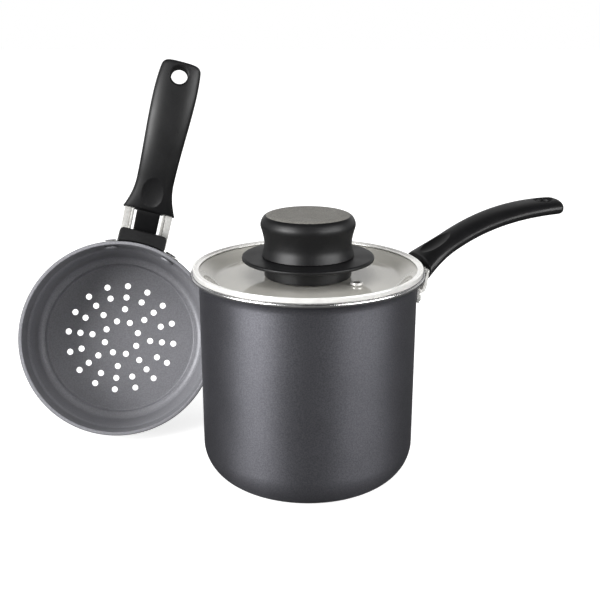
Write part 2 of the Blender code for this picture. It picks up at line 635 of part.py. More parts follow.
def thumb_tool(name, reach, parent):
    """Ellipsoid that scoops the oval thumb rest out of the grip's top."""
    (out, up), slope = grip_point(reach, THUMB_AT)
    ratio = 1 - THUMB_DEPTH / THUMB_BULGE
    stretch = 1 / math.sqrt(1 - ratio ** 2)
    mesh_data = bmesh.new()
    bmesh.ops.create_uvsphere(mesh_data, u_segments=24, v_segments=10, radius=1)
    size = Matrix.Diagonal((THUMB_HALF_LENGTH * stretch, THUMB_HALF_WIDTH * stretch,
                            THUMB_BULGE, 1))
    bmesh.ops.transform(mesh_data, matrix=size, verts=mesh_data.verts)
    tool = finish_mesh(f"{name}_thumb_rest", mesh_data, None, parent)
    lift = grip_half_thickness(THUMB_AT) + THUMB_BULGE - THUMB_DEPTH
    tool.matrix_local = (Matrix.Translation((out, 0, up)) @ Matrix.Rotation(-slope, 4, "Y")
                         @ Matrix.Translation((0, 0, lift)))
    return tool


def make_screw(prefix, reach, mat, parent):
    """Pan-head screw from the underside of the grip through the bridge, with a cross slot."""
    name = f"{prefix}_handle_screw"
    low = SCREW_SUNK - grip_half_thickness(SCREW_AT)
    head_z = low + SCREW_HEAD_HEIGHT
    profile = [(0, SCREW_REACH), (SCREW_SHANK_R, SCREW_REACH), (SCREW_SHANK_R, head_z),
               (SCREW_HEAD_R, head_z), (SCREW_HEAD_R, low + 0.7 * MM),
               (SCREW_HEAD_R - 0.9 * MM, low), (0, low)]
    screw = turned(name, profile, mat, parent, 16)
    screw.matrix_local = screw_matrix(reach)
    for k in range(2):
        blade = bmesh.new()
        bmesh.ops.create_cube(blade, size=1)
        size = Matrix.Diagonal((CROSS_WIDTH, CROSS_LENGTH, 2 * CROSS_DEPTH, 1))
        bmesh.ops.transform(blade, matrix=size, verts=blade.verts)
        slot = finish_mesh(f"{name}_slot_{k}", blade, None, parent)
        slot.matrix_local = (screw_matrix(reach) @ Matrix.Translation((0, 0, low))
                             @ Matrix.Rotation(k * math.pi / 2, 4, "Z"))
        boolean(screw, slot, "DIFFERENCE")
    return screw


def rounded_block(name, low, high, corner, mat, parent):
    """Box between two corners with its upright edges rounded."""
    outline = []
    centres = [(high[0] - corner, high[1] - corner, 0), (low[0] + corner, high[1] - corner, 1),
               (low[0] + corner, low[1] + corner, 2), (high[0] - corner, low[1] + corner, 3)]
    for x, y, quarter in centres:
        outline += arc((x, y), corner, quarter * math.pi / 2, (quarter + 1) * math.pi / 2, 4)
    rings = [[(x, y, z) for x, y in outline] for z in (low[2], high[2])]
    return lofted(name, rings, mat, parent)


def make_pot_guard(mat, parent):
    """Phenolic heat guard under the pot's lip, between the bracket's arms."""
    strap_out = POT_WALL_R + GAP + STRAP_THICKNESS
    top = -GUARD_DROP
    low = (strap_out - 4 * MM, -GUARD_HALF, top - GUARD_HEIGHT)
    high = (strap_out + GAP + GUARD_DEPTH, GUARD_HALF, top)
    guard = rounded_block("pot_heat_guard", low, high, 1.5 * MM, mat, parent)
    clear_r = strap_out + GAP
    boolean(guard, rod("pot_guard_back", clear_r, *GUARD_BACK, parent, BACK_STEPS), "DIFFERENCE")
    return guard


def make_basket_guard(reach, mat, parent):
    """Phenolic heat guard of the basket: a cap over the arms' roots and a tongue to the grip."""
    strap_out = BASKET_WALL_R + GAP + STRAP_THICKNESS
    strap_top = -RIVET_DROP + STRAP_HEIGHT / 2
    rim_clear = BASKET_RIM_R + GAP
    cap_out = rim_clear + GUARD_CAP_REACH
    cap_low = strap_top + GAP
    guard = rounded_block("basket_heat_guard", (rim_clear - 8 * MM, -GUARD_CAP_HALF, cap_low),
                          (cap_out, GUARD_CAP_HALF, cap_low + GUARD_CAP_HEIGHT), 2.5 * MM, mat,
                          parent)
    web = rounded_block("basket_guard_web",
                        (strap_out - 4 * MM, -GUARD_HALF, strap_top - STRAP_HEIGHT + 1 * MM),
                        (cap_out - 0.6 * MM, GUARD_HALF, cap_low + 2 * MM), 1.5 * MM, None, parent)
    back = rod("basket_guard_web_back", strap_out + GAP, *GUARD_BACK, parent, BACK_STEPS)
    boolean(web, back, "DIFFERENCE")
    boolean(guard, rod("basket_guard_cap_back", rim_clear, *GUARD_BACK, parent, BACK_STEPS),
            "DIFFERENCE")
    boolean(guard, web, "UNION")
    control = arm_curve(strap_out - STRAP_THICKNESS / 2, reach, BASKET_ARM)
    rings = []
    section = rounded_section(TONGUE_HALF, TONGUE_THICKNESS / 2, 0.5 * MM)
    for t in (0.26, 0.38, 0.5, 0.62, 0.74, 0.86):
        here = bezier(control, t)
        ahead = bezier(control, t + 0.01)
        slope = math.atan2(ahead[1] - here[1], ahead[0] - here[0])
        rings.append([(here[0] - rise * math.sin(slope), across, here[1] + rise * math.cos(slope))
                      for across, rise in section])
    face, slope = grip_point(reach, 0)
    end_up = face[1] - GAP * math.tan(slope)
    rings.append([(face[0] - GAP, across, end_up + rise / math.cos(slope))
                  for across, rise in section])
    boolean(guard, lofted("basket_guard_tongue", rings, None, parent), "UNION")
    return guard


# Lid

def lid_levels():
    """Heights of the lid's main faces when it rests on the pot."""
    band_low = POT_HEIGHT
    band_top = band_low + BAND_HEIGHT
    glass_top = band_top - GLASS_DROP
    return band_low, band_top, glass_top


def make_band(mat, parent):
    """Steel band: an upright ring with a crimped lip over the glass edge."""
    low, top, _ = lid_levels()
    inner = BAND_R - BAND_WALL
    lip_top = top - BAND_LIP_DROP
    lip_low = lip_top - BAND_LIP
    edge = 0.45 * MM
    profile = [(BAND_R - edge, top), (BAND_R, top - edge), (BAND_R, low + edge),
               (BAND_R - edge, low), (inner + 0.2 * MM, low), (inner, low + 0.3 * MM),
               (inner, lip_low), (inner - BAND_LIP_WIDTH, lip_low),
               (inner - BAND_LIP_WIDTH - 0.2 * MM, lip_low + BAND_LIP / 2),
               (inner - BAND_LIP_WIDTH, lip_top), (inner, lip_top), (inner + 0.3 * MM, top - 0.2 * MM),
               (inner + 0.6 * MM, top)]
    return turned("lid_rim_band", profile, mat, parent, ring=True)


def make_glass(mat, parent):
    """Dished glass: flat in the middle, its border rising in an S to the band."""
    _, band_top, top = lid_levels()
    edge_r = BAND_R - BAND_WALL - GAP
    edge_top = band_top - BAND_LIP_DROP - BAND_LIP - GAP
    low = top - GLASS
    edge_low = edge_top - GLASS_EDGE
    border = edge_r - GLASS_EDGE / 2 - GLASS_FLAT_R
    shares = (0, 0.25, 0.5, 0.75, 1)
    upper = [(GLASS_FLAT_R + border * s, top + (edge_top - top) * smooth_step(s)) for s in shares]
    under = [(GLASS_FLAT_R + border * s, low + (edge_low - low) * smooth_step(s))
             for s in reversed(shares)]
    rim = [(edge_r, edge_top - GLASS_EDGE / 3), (edge_r, edge_low + GLASS_EDGE / 3)]
    hole = KNOB_SCREW_R + 1.0 * MM
    profile = upper + rim + under + [(hole, low), (hole, top)]
    glass = turned("lid_glass", profile, mat, parent, ring=True)
    place = vent_place()
    drill = rod("lid_glass_vent_drill", VENT_TUBE_R + BORE_GAP, top - GLASS - 3 * MM, top + 3 * MM,
                parent, 16)
    drill.location = place
    boolean(glass, drill, "DIFFERENCE")
    return glass


def vent_place():
    """Axis of the steam vent, to the front right under the knob's disc."""
    return (VENT_AT_R * math.cos(VENT_TURN), VENT_AT_R * math.sin(VENT_TURN), 0)


def make_vent(mat, parent):
    """Rolled steel eyelet that lets steam out through the glass."""
    _, _, top = lid_levels()
    under = top - GLASS - GAP
    profile = [(VENT_R - 0.7 * MM, top + VENT_PROUD), (VENT_R, top + VENT_PROUD - 0.7 * MM),
               (VENT_R, top + GAP), (VENT_TUBE_R, top + GAP), (VENT_TUBE_R, under),
               (VENT_R, under), (VENT_R - 0.4 * MM, under - VENT_FLANGE),
               (VENT_BORE_R, under - VENT_FLANGE), (VENT_BORE_R, top + VENT_PROUD - 0.6 * MM),
               (VENT_BORE_R + 0.6 * MM, top + VENT_PROUD)]
    vent = turned("vent_eyelet", profile, mat, parent, SMALL_STEPS, ring=True)
    vent.location = vent_place()
    return vent


def make_lid_knob(phenolic, steel, brass, silicone, parent):
    """Knob, its disc and foot, the insert and the screw that hold them on the glass."""
    _, _, glass_top = lid_levels()
    seal_low = glass_top + GAP
    seal_top = seal_low + SEAL_THICKNESS
    foot_low = seal_top + GAP
    knob_top = glass_top + KNOB_TOP_Z_ABOVE_GLASS
    knob_low = knob_top - KNOB_HEIGHT
    disc_top = knob_low - GAP
    disc_low = disc_top - GUARD_DISC_THICKNESS
    screw_hole = KNOB_SCREW_R + BORE_GAP

    seal = [(SEAL_R, seal_top), (SEAL_R, seal_low), (screw_hole, seal_low), (screw_hole, seal_top)]
    turned("glass_seal", seal, silicone, parent, 24, ring=True)

    round_edge = 1.3 * MM
    disc = [(screw_hole, disc_top), (GUARD_DISC_R - 2 * round_edge, disc_top),
            (GUARD_DISC_R - 0.4 * round_edge, disc_top - 0.4 * round_edge),
            (GUARD_DISC_R, disc_top - 1.2 * round_edge),
            (GUARD_DISC_R - 0.3 * round_edge, disc_low + 0.5 * round_edge),
            (GUARD_DISC_R - 1.4 * round_edge, disc_low),
            (KNOB_FOOT_R + 1.2 * MM, disc_low), (KNOB_FOOT_R, disc_low - 1.2 * MM),
            (KNOB_FOOT_R, foot_low + 0.6 * MM), (KNOB_FOOT_R - 0.6 * MM, foot_low),
            (screw_hole, foot_low)]
    turned("knob_guard_disc", disc, phenolic, parent, KNOB_STEPS, ring=True)

    insert_low = knob_low + 0.6 * MM
    insert_top = insert_low + INSERT_LENGTH
    insert = [(INSERT_R, insert_top), (INSERT_R, insert_low), (screw_hole, insert_low),
              (screw_hole, insert_top)]
    turned("knob_insert", insert, brass, parent, SMALL_STEPS, ring=True)

    waist_z = knob_low + KNOB_WAIST_RISE
    cap_z = knob_top - KNOB_CAP_DROP
    pocket_r = INSERT_R + GAP
    pocket_top = insert_top + GAP
    knob = [(0, knob_top - 0.6 * MM), (0.45 * KNOB_CAP_R, knob_top - 0.2 * MM),
            (0.76 * KNOB_CAP_R, knob_top), (0.87 * KNOB_CAP_R, knob_top - 1.1 * MM),
            (0.94 * KNOB_CAP_R, knob_top - 2.9 * MM), (0.985 * KNOB_CAP_R, knob_top - 4.8 * MM),
            (KNOB_CAP_R, cap_z), (0.99 * KNOB_CAP_R, cap_z - 1.8 * MM),
            (0.955 * KNOB_CAP_R, cap_z - 4.4 * MM), (KNOB_WAIST_R + 0.4 * MM, waist_z + 3.6 * MM),
            (KNOB_WAIST_R, waist_z), (KNOB_WAIST_R + 0.3 * MM, waist_z - 2.6 * MM),
            (KNOB_SKIRT_R - 0.9 * MM, knob_low + 2.6 * MM), (KNOB_SKIRT_R, knob_low + 0.8 * MM),
            (KNOB_SKIRT_R - 0.5 * MM, knob_low), (pocket_r, knob_low), (pocket_r, pocket_top),
            (0, pocket_top)]
    turned("lid_knob", knob, phenolic, parent, KNOB_STEPS)

    cushion_top = glass_top - GLASS - GAP
    cushion_low = cushion_top - WASHER_THICKNESS
    cushion = [(WASHER_R, cushion_top), (WASHER_R, cushion_low), (screw_hole, cushion_low),
               (screw_hole, cushion_top)]
    turned("knob_cushion_washer", cushion, silicone, parent, SMALL_STEPS, ring=True)

    washer_top = cushion_low - GAP
    washer_low = washer_top - WASHER_THICKNESS
    washer_r = WASHER_R - 1.0 * MM
    washer = [(washer_r, washer_top), (washer_r, washer_low), (screw_hole, washer_low),
              (screw_hole, washer_top)]
    turned("knob_steel_washer", washer, steel, parent, SMALL_STEPS, ring=True)

    head_top = washer_low - GAP
    head_low = head_top - KNOB_SCREW_HEAD_HEIGHT
    screw_top = knob_low + KNOB_SCREW_REACH
    screw = [(0, screw_top), (KNOB_SCREW_R, screw_top), (KNOB_SCREW_R, head_top),
             (KNOB_SCREW_HEAD_R, head_top), (KNOB_SCREW_HEAD_R, head_low + 0.9 * MM),
             (KNOB_SCREW_HEAD_R - 1.4 * MM, head_low), (0, head_low)]
    bolt = turned("knob_screw", screw, steel, parent, SMALL_STEPS)
    blade = bmesh.new()
    bmesh.ops.create_cube(blade, size=1)
    size = Matrix.Diagonal((1.2 * MM, 3 * KNOB_SCREW_HEAD_R, 2.0 * MM, 1))
    bmesh.ops.transform(blade, matrix=size, verts=blade.verts)
    slot = finish_mesh("knob_screw_slot", blade, None, parent)
    slot.location = (0, 0, head_low)
    boolean(bolt, slot, "DIFFERENCE")


# Assembly

def basket_matrix():
    """Pose of the basket: axis tilted up at the viewer, lowest point on the table."""
    axis = Vector((math.sin(BASKET_TURN) * math.cos(BASKET_TILT),
                   -math.cos(BASKET_TURN) * math.cos(BASKET_TILT),
                   math.sin(BASKET_TILT)))
    right = Vector((0, 0, 1)).cross(axis).normalized()
    up = axis.cross(right)
    handle = up * math.cos(BASKET_HANDLE_LEAN) + right * math.sin(BASKET_HANDLE_LEAN)
    side = axis.cross(handle)
    turn = Matrix((handle, side, axis)).transposed().to_4x4()
    rim_centre = Vector((BASKET_RIM_X, BASKET_RIM_Y, 0))
    base_centre = rim_centre - axis * BASKET_HEIGHT
    radial_drop = math.cos(BASKET_TILT)
    lowest = min(z * axis.z - r * radial_drop for r, z in basket_profile())
    base_centre.z = -lowest
    return Matrix.Translation(base_centre) @ turn


def build():
    """Model every piece."""
    for obj in list(bpy.data.objects):
        bpy.data.objects.remove(obj, do_unlink=True)

    coating = material("dark_nonstick_coating", "4a4a4e", 0.42, 0.35)
    inside_coating = material("grey_nonstick_coating", "77777a", 0.5, 0.3)
    phenolic = material("black_phenolic", "17171a", 0.42)
    steel = material("polished_stainless_steel", "c9c9c6", 0.2, 1.0)
    brass = material("brass_insert", "b8944f", 0.35, 1.0)
    silicone = material("black_silicone", "1c1c1e", 0.7)
    glass = material("tempered_glass", "c8ccc8", 0.05, 0.0, 0.9)

    vessel = add_empty("pot_frame", Matrix.Identity(4))
    pot = turned("pot_body", pot_profile(), coating, vessel)
    pot_rim = add_empty("pot_rim_frame", Matrix.Translation((0, 0, POT_HEIGHT - POT_HANDLE_DROP))
                        @ Matrix.Rotation(POT_HANDLE_TURN, 4, "Z"))
    cut_rivet_holes(pot, 0, POT_WALL_R, "pot", pot_rim)
    root = POT_WALL_R + GAP + STRAP_THICKNESS / 2
    make_bracket("pot", POT_WALL_R, POT_FLARE_REACH, POT_ARM, steel, pot_rim)
    make_rivets("pot", POT_WALL_R, POT_WALL, steel, pot_rim)
    make_grip("pot", root, POT_FLARE_REACH, POT_ARM, phenolic, pot_rim)
    make_screw("pot", POT_FLARE_REACH, steel, pot_rim)
    make_pot_guard(phenolic, pot_rim)

    lid = add_empty("lid_frame", Matrix.Identity(4))
    make_band(steel, lid)
    make_glass(glass, lid)
    make_vent(steel, lid)
    make_lid_knob(phenolic, steel, brass, silicone, lid)

    stand = add_empty("basket_frame", basket_matrix())
    basket_rim = add_empty("basket_rim_frame",
                           basket_matrix() @ Matrix.Translation((0, 0, BASKET_HEIGHT)))
    basket = turned("basket_body", basket_profile(), inside_coating, stand)
    boolean(basket, floor_holes(stand), "DIFFERENCE")
    cut_rivet_holes(basket, 0, BASKET_WALL_R, "basket", basket_rim)
    root = BASKET_WALL_R + GAP + STRAP_THICKNESS / 2
    make_bracket("basket", BASKET_WALL_R, BASKET_FLARE_REACH, BASKET_ARM, steel, basket_rim)
    make_rivets("basket", BASKET_WALL_R, BASKET_WALL, steel, basket_rim)
    make_grip("basket", root, BASKET_FLARE_REACH, BASKET_ARM, phenolic, basket_rim)
    make_screw("basket", BASKET_FLARE_REACH, steel, basket_rim)
    make_basket_guard(BASKET_FLARE_REACH, phenolic, basket_rim)


build()
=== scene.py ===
# %% [markdown]
# # Couscous steamer
#
# Three loose things stand together: a deep saucepan with its glass lid on, and a steaming basket
# behind it on the left with its mouth to the viewer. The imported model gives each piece's place and
# size. This lesson puts a finer surface over each piece, with rounded edges and a real finish, and
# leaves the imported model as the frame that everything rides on.

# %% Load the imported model
import math

import bmesh
import bpy
import numpy as np
from mathutils import Matrix


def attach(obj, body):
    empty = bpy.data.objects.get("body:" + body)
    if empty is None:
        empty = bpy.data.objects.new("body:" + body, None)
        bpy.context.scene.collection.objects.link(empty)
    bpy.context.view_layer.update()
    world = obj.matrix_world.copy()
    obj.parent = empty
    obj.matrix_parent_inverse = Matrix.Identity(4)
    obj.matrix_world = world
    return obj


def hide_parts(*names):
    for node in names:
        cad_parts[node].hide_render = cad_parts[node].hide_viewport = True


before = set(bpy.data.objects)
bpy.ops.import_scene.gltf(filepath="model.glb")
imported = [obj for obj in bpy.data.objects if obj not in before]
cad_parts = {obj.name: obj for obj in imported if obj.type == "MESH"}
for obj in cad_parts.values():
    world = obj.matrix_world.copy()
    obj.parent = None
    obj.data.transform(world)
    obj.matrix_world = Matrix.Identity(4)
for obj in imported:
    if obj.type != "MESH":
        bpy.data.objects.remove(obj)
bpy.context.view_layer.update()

# %% [markdown]
# ## Camera
#
# A product photograph of cookware is taken from a little above the rim, with a short telephoto lens,
# so that the mouth shows as a flat oval. The oval of the pot's rim and the taper of its wall give the
# camera's height and distance. The camera comes first, because every later look is judged through it.

# %% Place the camera where the photograph was taken from
MM = 0.001
PICTURE_WIDTH = 600
FOCAL_PIXELS = 981.0
SENSOR = 36.0
CAMERA_PLACE = np.array([-5.2, -618.0, 309.0]) * MM
CAMERA_PITCH = math.radians(16.95)

camera_data = bpy.data.cameras.new("camera")
camera_data.sensor_width = SENSOR
camera_data.lens = FOCAL_PIXELS / PICTURE_WIDTH * SENSOR
camera_data.clip_end = 20.0
camera = bpy.data.objects.new("camera", camera_data)
camera.location = CAMERA_PLACE
camera.rotation_euler = (math.pi / 2 - CAMERA_PITCH, 0, 0)
bpy.context.scene.collection.objects.link(camera)
bpy.context.scene.camera = camera
print("lens", round(camera_data.lens, 2), "mm")

# %% [markdown]
# ## From arrays to meshes
#
# Most of this cookware is spun, drawn or moulded, so a piece is either a profile turned round an axis
# or an outline carried along a path. Both are a grid of points, so one function joins a grid into a
# skin, and the shapes themselves are formulas on whole arrays. Doubled points are merged before the
# normals are worked out, so that poles and seams close.


# %% Make a clean piece from points and faces
def clean(mesh, sharp=math.radians(38)):
    """Merge doubled points, turn faces outwards, and shade smooth except over sharp edges."""
    work = bmesh.new()
    work.from_mesh(mesh)
    bmesh.ops.remove_doubles(work, verts=work.verts, dist=1e-7)
    bmesh.ops.recalc_face_normals(work, faces=work.faces)
    work.to_mesh(mesh)
    work.free()
    mesh.shade_smooth()
    mesh.set_sharp_from_angle(angle=sharp)


def new_piece(name, points, faces, finish_numbers=None):
    """A cleaned mesh of these points and faces, as an object in the scene."""
    mesh = bpy.data.meshes.new(name)
    mesh.from_pydata(points.tolist(), [], faces)
    if finish_numbers is not None:
        mesh.polygons.foreach_set("material_index", finish_numbers)
    clean(mesh)
    piece = bpy.data.objects.new(name, mesh)
    bpy.context.scene.collection.objects.link(piece)
    return piece


# %% Join a grid of points into a closed skin
def quads_of(index):
    """From a grid of point numbers, the four corners of each face between neighbours."""
    corners = index[:-1, :-1], index[:-1, 1:], index[1:, 1:], index[1:, :-1]
    return np.stack(corners, axis=-1).reshape(-1, 4)


def skin(name, grid, ring=False, caps=False, finish_of_row=None):
    """Quads between neighbouring points of a grid (rows, columns, 3).

    Columns always close round. Rows close too when ring is true. Caps fill the first and last row.
    finish_of_row gives each row's material number.
    """
    rows, columns, _ = grid.shape
    index = np.arange(rows * columns).reshape(rows, columns)
    index = np.hstack([index, index[:, :1]])
    if ring:
        index = np.vstack([index, index[:1]])
    faces = quads_of(index).tolist()
    if caps:
        faces += index[[0, -1], :-1].tolist()
    numbers = None
    if finish_of_row is not None:
        numbers = np.repeat(np.asarray(finish_of_row, np.int32)[:len(index) - 1], columns)
    return new_piece(name, grid.reshape(-1, 3), faces, numbers)


# %% Round the corners of a profile
def soften(points, reach, steps=5, ring=False):
    """Each corner becomes a short quadratic curve that leaves and joins its edges at a distance reach.

    The reach is cut to 45 % of an edge that is too short. An open profile keeps its two end points.
    """
    points = np.asarray(points, float)
    before, after = np.roll(points, 1, axis=0), np.roll(points, -1, axis=0)
    reach = np.broadcast_to(np.asarray(reach, float), len(points))
    inner = slice(None) if ring else slice(1, -1)
    corner, before, after, reach = points[inner], before[inner], after[inner], reach[inner]

    def cut(other):
        """The point at the distance reach from each corner, towards its other neighbour."""
        length = np.linalg.norm(other - corner, axis=1)
        share = np.minimum(reach / np.maximum(length, 1e-9), 0.45)
        return corner + (other - corner) * share[:, None]

    start, end = cut(before)[:, None], cut(after)[:, None]
    t = np.linspace(0, 1, steps)[None, :, None]
    curve = (1 - t) ** 2 * start + 2 * t * (1 - t) * corner[:, None] + t ** 2 * end
    curve = curve.reshape(-1, 2)
    return curve if ring else np.vstack([points[:1], curve, points[-1:]])


# %% Turn a profile round an axis
def once_round(count):
    """Evenly spaced angles of a full turn."""
    return np.linspace(0, math.tau, count, endpoint=False)


def grid_of(x, y, z):
    """One grid (rows, columns, 3) from coordinates that may each hold only a column or a row."""
    return np.stack(np.broadcast_arrays(x, y, z), axis=-1)


def turned_grid(profile, steps):
    """A point (r, z) of the profile at the angle a lies at (r cos a, r sin a, z)."""
    radius, height = np.asarray(profile, float).T[:, :, None]
    angle = once_round(steps)
    return grid_of(radius * np.cos(angle), radius * np.sin(angle), height)


def turned(name, profile, steps=96, ring=False, finish_of_row=None):
    """The skin over a turned profile, as a new piece."""
    return skin(name, turned_grid(profile, steps), ring=ring, finish_of_row=finish_of_row)


# %% Draw a profile from arcs and lines
def arc(centre, radius, start, end, count):
    """Points at a radius round a centre, from one angle to another, in the profile's plane."""
    angle = np.linspace(start, end, count)
    return np.stack([centre[0] + radius * np.cos(angle), centre[1] + radius * np.sin(angle)], axis=1)


def blend_line(start, end, count):
    """Evenly spaced points between two points, without the end points."""
    share = np.linspace(0, 1, count + 2)[1:-1, None]
    return np.asarray(start) * (1 - share) + np.asarray(end) * share


# %% Cut, join and place finished pieces
def combine(piece, tool, operation):
    """Cut a tool out of a piece, or weld it on, and keep only the result."""
    modifier = piece.modifiers.new(operation, "BOOLEAN")
    modifier.object, modifier.operation, modifier.solver = tool, operation, "EXACT"
    graph = bpy.context.evaluated_depsgraph_get()
    result = bpy.data.meshes.new_from_object(piece.evaluated_get(graph))
    piece.modifiers.clear()
    old = piece.data
    piece.data = result
    bpy.data.meshes.remove(old)
    bpy.data.meshes.remove(tool.data)
    clean(result)
    return piece


def moved(piece, matrix):
    """Carry a piece's points to their place, so that the object itself stays at the origin."""
    piece.data.transform(matrix)
    piece.data.update()
    return piece


# %% [markdown]
# ## Finishes
#
# A material starts as a few numbers for what the thing is made of, and then gets the small unevenness
# that tells the eye how it was made: flakes in a sprayed coating, orange peel, polishing marks, the
# fine grain of a mould. Each pattern's size is a real size in millimetres, so it stays right at any
# distance. One small function adds a shader node, and each family of finishes has its own cell.


# %% Colours and nodes
def linear(hex_colour):
    """Linear red, green, blue and alpha of an sRGB hex colour."""
    value = np.array([int(hex_colour[i:i + 2], 16) for i in (0, 2, 4)]) / 255
    value = np.where(value <= 0.04045, value / 12.92, ((value + 0.055) / 1.055) ** 2.4)
    return (*value.tolist(), 1.0)


def add_node(tree, kind, settings=None, links=None):
    """Add a node. Settings are its properties or socket values, links are sockets it reads from."""
    node = tree.nodes.new(kind)
    for key, value in (settings or {}).items():
        if isinstance(key, int) or key in node.inputs:
            node.inputs[key].default_value = value
        else:
            setattr(node, key, value)
    for key, source in (links or {}).items():
        tree.links.new(source, node.inputs[key])
    return node


NOISE_PER_METRE = 600.0  # noise of this scale has blobs about 1 mm across, so it is divided by the size
NOISE_LOW, NOISE_HIGH = 0.35, 0.65  # nearly all of a noise lies between these values


def start_finish(name, settings):
    """A new material, its node tree, its Principled shader and the piece's own coordinates."""
    finish = bpy.data.materials.new(name)
    finish.use_nodes = True
    tree = finish.node_tree
    shader = tree.nodes["Principled BSDF"]
    for key, value in settings.items():
        shader.inputs[key].default_value = value
    place = add_node(tree, "ShaderNodeTexCoord").outputs["Object"]
    return finish, tree, shader, place


# %% [markdown]
# ### One recipe for worked surfaces
#
# Most finishes here differ in the same three ways over their surface: the colour wanders between two
# tones, the gloss wanders a little over wider patches, and the surface is dented by a few hundredths of
# a millimetre. So one recipe lays these three over a shader, and each finish brings its own numbers.

# %% Lay tone, gloss and dents over a shader
def worked_finish(name, settings, tones, mark_mm, patch_mm, rough, dent_mm):
    """A finish whose shader reads two noises of the piece's own coordinates.

    The fine one mixes two colours and dents the surface. The wide one swings the roughness.
    """
    finish, tree, shader, place = start_finish(name, settings)
    fine = add_node(tree, "ShaderNodeTexNoise", {"Scale": NOISE_PER_METRE / mark_mm, "Detail": 3.0},
                    {"Vector": place}).outputs["Fac"]
    share = add_node(tree, "ShaderNodeMapRange", {"From Min": NOISE_LOW, "From Max": NOISE_HIGH},
                     {"Value": fine}).outputs[0]
    tone = add_node(tree, "ShaderNodeMix",
                    {"data_type": "RGBA", 6: linear(tones[0]), 7: linear(tones[1])}, {0: share})
    wide = add_node(tree, "ShaderNodeTexNoise", {"Scale": NOISE_PER_METRE / patch_mm, "Detail": 2.0},
                    {"Vector": place}).outputs["Fac"]
    gloss = add_node(tree, "ShaderNodeMapRange",
                     {"From Min": NOISE_LOW, "From Max": NOISE_HIGH,
                      "To Min": rough[0], "To Max": rough[1]}, {"Value": wide})
    dents = add_node(tree, "ShaderNodeBump", {"Strength": 0.5, "Distance": dent_mm * MM},
                     {"Height": fine})
    tree.links.new(tone.outputs[2], shader.inputs["Base Color"])
    tree.links.new(gloss.outputs[0], shader.inputs["Roughness"])
    tree.links.new(dents.outputs[0], shader.inputs["Normal"])
    return finish


# %% [markdown]
# ### Sprayed non-stick coating
#
# The aluminium is sprayed and baked. Outside, the coating is graphite with fine aluminium flakes, which
# gives a soft metallic sheen. Inside it is a plainer grey. Both have the faint orange peel of a sprayed
# film. The flakes are smaller than a pixel, so they are drawn about half a millimetre across. The wall
# was spun on a lathe, and its fine rings draw every highlight out up and down: the shader's anisotropy,
# with its tangent running round Z, does the same.

# %% Outside and inside coating
graphite_coating = worked_finish(
    "sprayed_graphite_nonstick", {"Metallic": 0.9, "Anisotropic": 0.6, "Anisotropic Rotation": 0.25},
    ("55555a", "636368"), mark_mm=0.5, patch_mm=16.0, rough=(0.46, 0.50), dent_mm=0.004)
tree = graphite_coating.node_tree
spun = add_node(tree, "ShaderNodeTangent", {"direction_type": "RADIAL", "axis": "Z"})
tree.links.new(spun.outputs[0], tree.nodes["Principled BSDF"].inputs["Tangent"])

grey_coating = worked_finish(
    "sprayed_grey_nonstick", {"Metallic": 0.25},
    ("6a6a6e", "78787c"), mark_mm=0.6, patch_mm=14.0, rough=(0.46, 0.54), dent_mm=0.02)
print("coatings:", graphite_coating.name, grey_coating.name)

# %% [markdown]
# ### Phenolic mouldings
#
# Grips, knob and heat guards are compression-moulded phenolic: black, hard, satin. The mould leaves a
# very fine grain. The flat top of the knob comes from an eroded mould face, so its grain is coarser.
# Its mid grey is a painted sheen: the light that the grain catches is painted into its colour.

# %% Satin and grained phenolic
satin_phenolic = worked_finish(
    "moulded_black_phenolic", {"IOR": 1.4},
    ("070708", "0d0d0e"), mark_mm=0.6, patch_mm=9.0, rough=(0.42, 0.48), dent_mm=0.01)
# The grained finish's grey tones are a painted sheen over black phenolic; only its dents are real grain.
phenolic_grain_and_painted_sheen = worked_finish(
    "black_phenolic_grain_painted_sheen", {"IOR": 1.6},
    ("4a4946", "6a6863"), mark_mm=0.5, patch_mm=9.0, rough=(0.55, 0.65), dent_mm=0.12)
print("phenolic:", satin_phenolic.name, phenolic_grain_and_painted_sheen.name)

# %% [markdown]
# ### Bare metals
#
# The lid's band and the eyelet are rolled and polished stainless steel. The bracket is pressed from
# strip and only brightened by tumbling, so it is a little duller. The pot's lip is bare aluminium,
# trimmed on a lathe after spraying. A metal gets nearly all its looks from what it mirrors, so its
# marks stay very shallow. Polishing and tumbling leave fine scratches that scatter part of the light, so
# both steels are only half metallic in the shader and stay bright where the studio is dark. The eyelet's
# bore gets a dark, dull steel as painted shade for the inside of the hole.

# %% Polished, tumbled and trimmed metal
polished_steel = worked_finish(
    "polished_stainless_steel", {"Metallic": 0.5},
    ("dcdbd8", "e8e7e4"), mark_mm=3.0, patch_mm=12.0, rough=(0.07, 0.11), dent_mm=0.002)
tumbled_steel = worked_finish(
    "tumbled_stainless_steel", {"Metallic": 0.45},
    ("cfceca", "e0dfdc"), mark_mm=1.6, patch_mm=6.0, rough=(0.16, 0.24), dent_mm=0.004)
# Dark steel for the eyelet's bore: painted shade inside the hole.
bore_painted_shade_steel = worked_finish(
    "stainless_steel_painted_bore_shade", {"Metallic": 1.0},
    ("343331", "4a4946"), mark_mm=1.0, patch_mm=4.0, rough=(0.4, 0.5), dent_mm=0.01)
bare_aluminium = worked_finish(
    "trimmed_aluminium", {"Metallic": 1.0},
    ("dcdcdc", "ececec"), mark_mm=1.0, patch_mm=8.0, rough=(0.2, 0.26), dent_mm=0.004)
turned_brass = worked_finish(
    "turned_brass", {"Metallic": 1.0},
    ("b8944f", "c9a75f"), mark_mm=1.0, patch_mm=4.0, rough=(0.26, 0.34), dent_mm=0.004)
print("metals:", polished_steel.name, tumbled_steel.name, bore_painted_shade_steel.name, bare_aluminium.name,
      turned_brass.name)

# %% [markdown]
# The base is turned flat on a lathe, which leaves rings about 1.2 mm apart. A wave texture in its ring
# mode round Z draws them, once as colour and once as height.

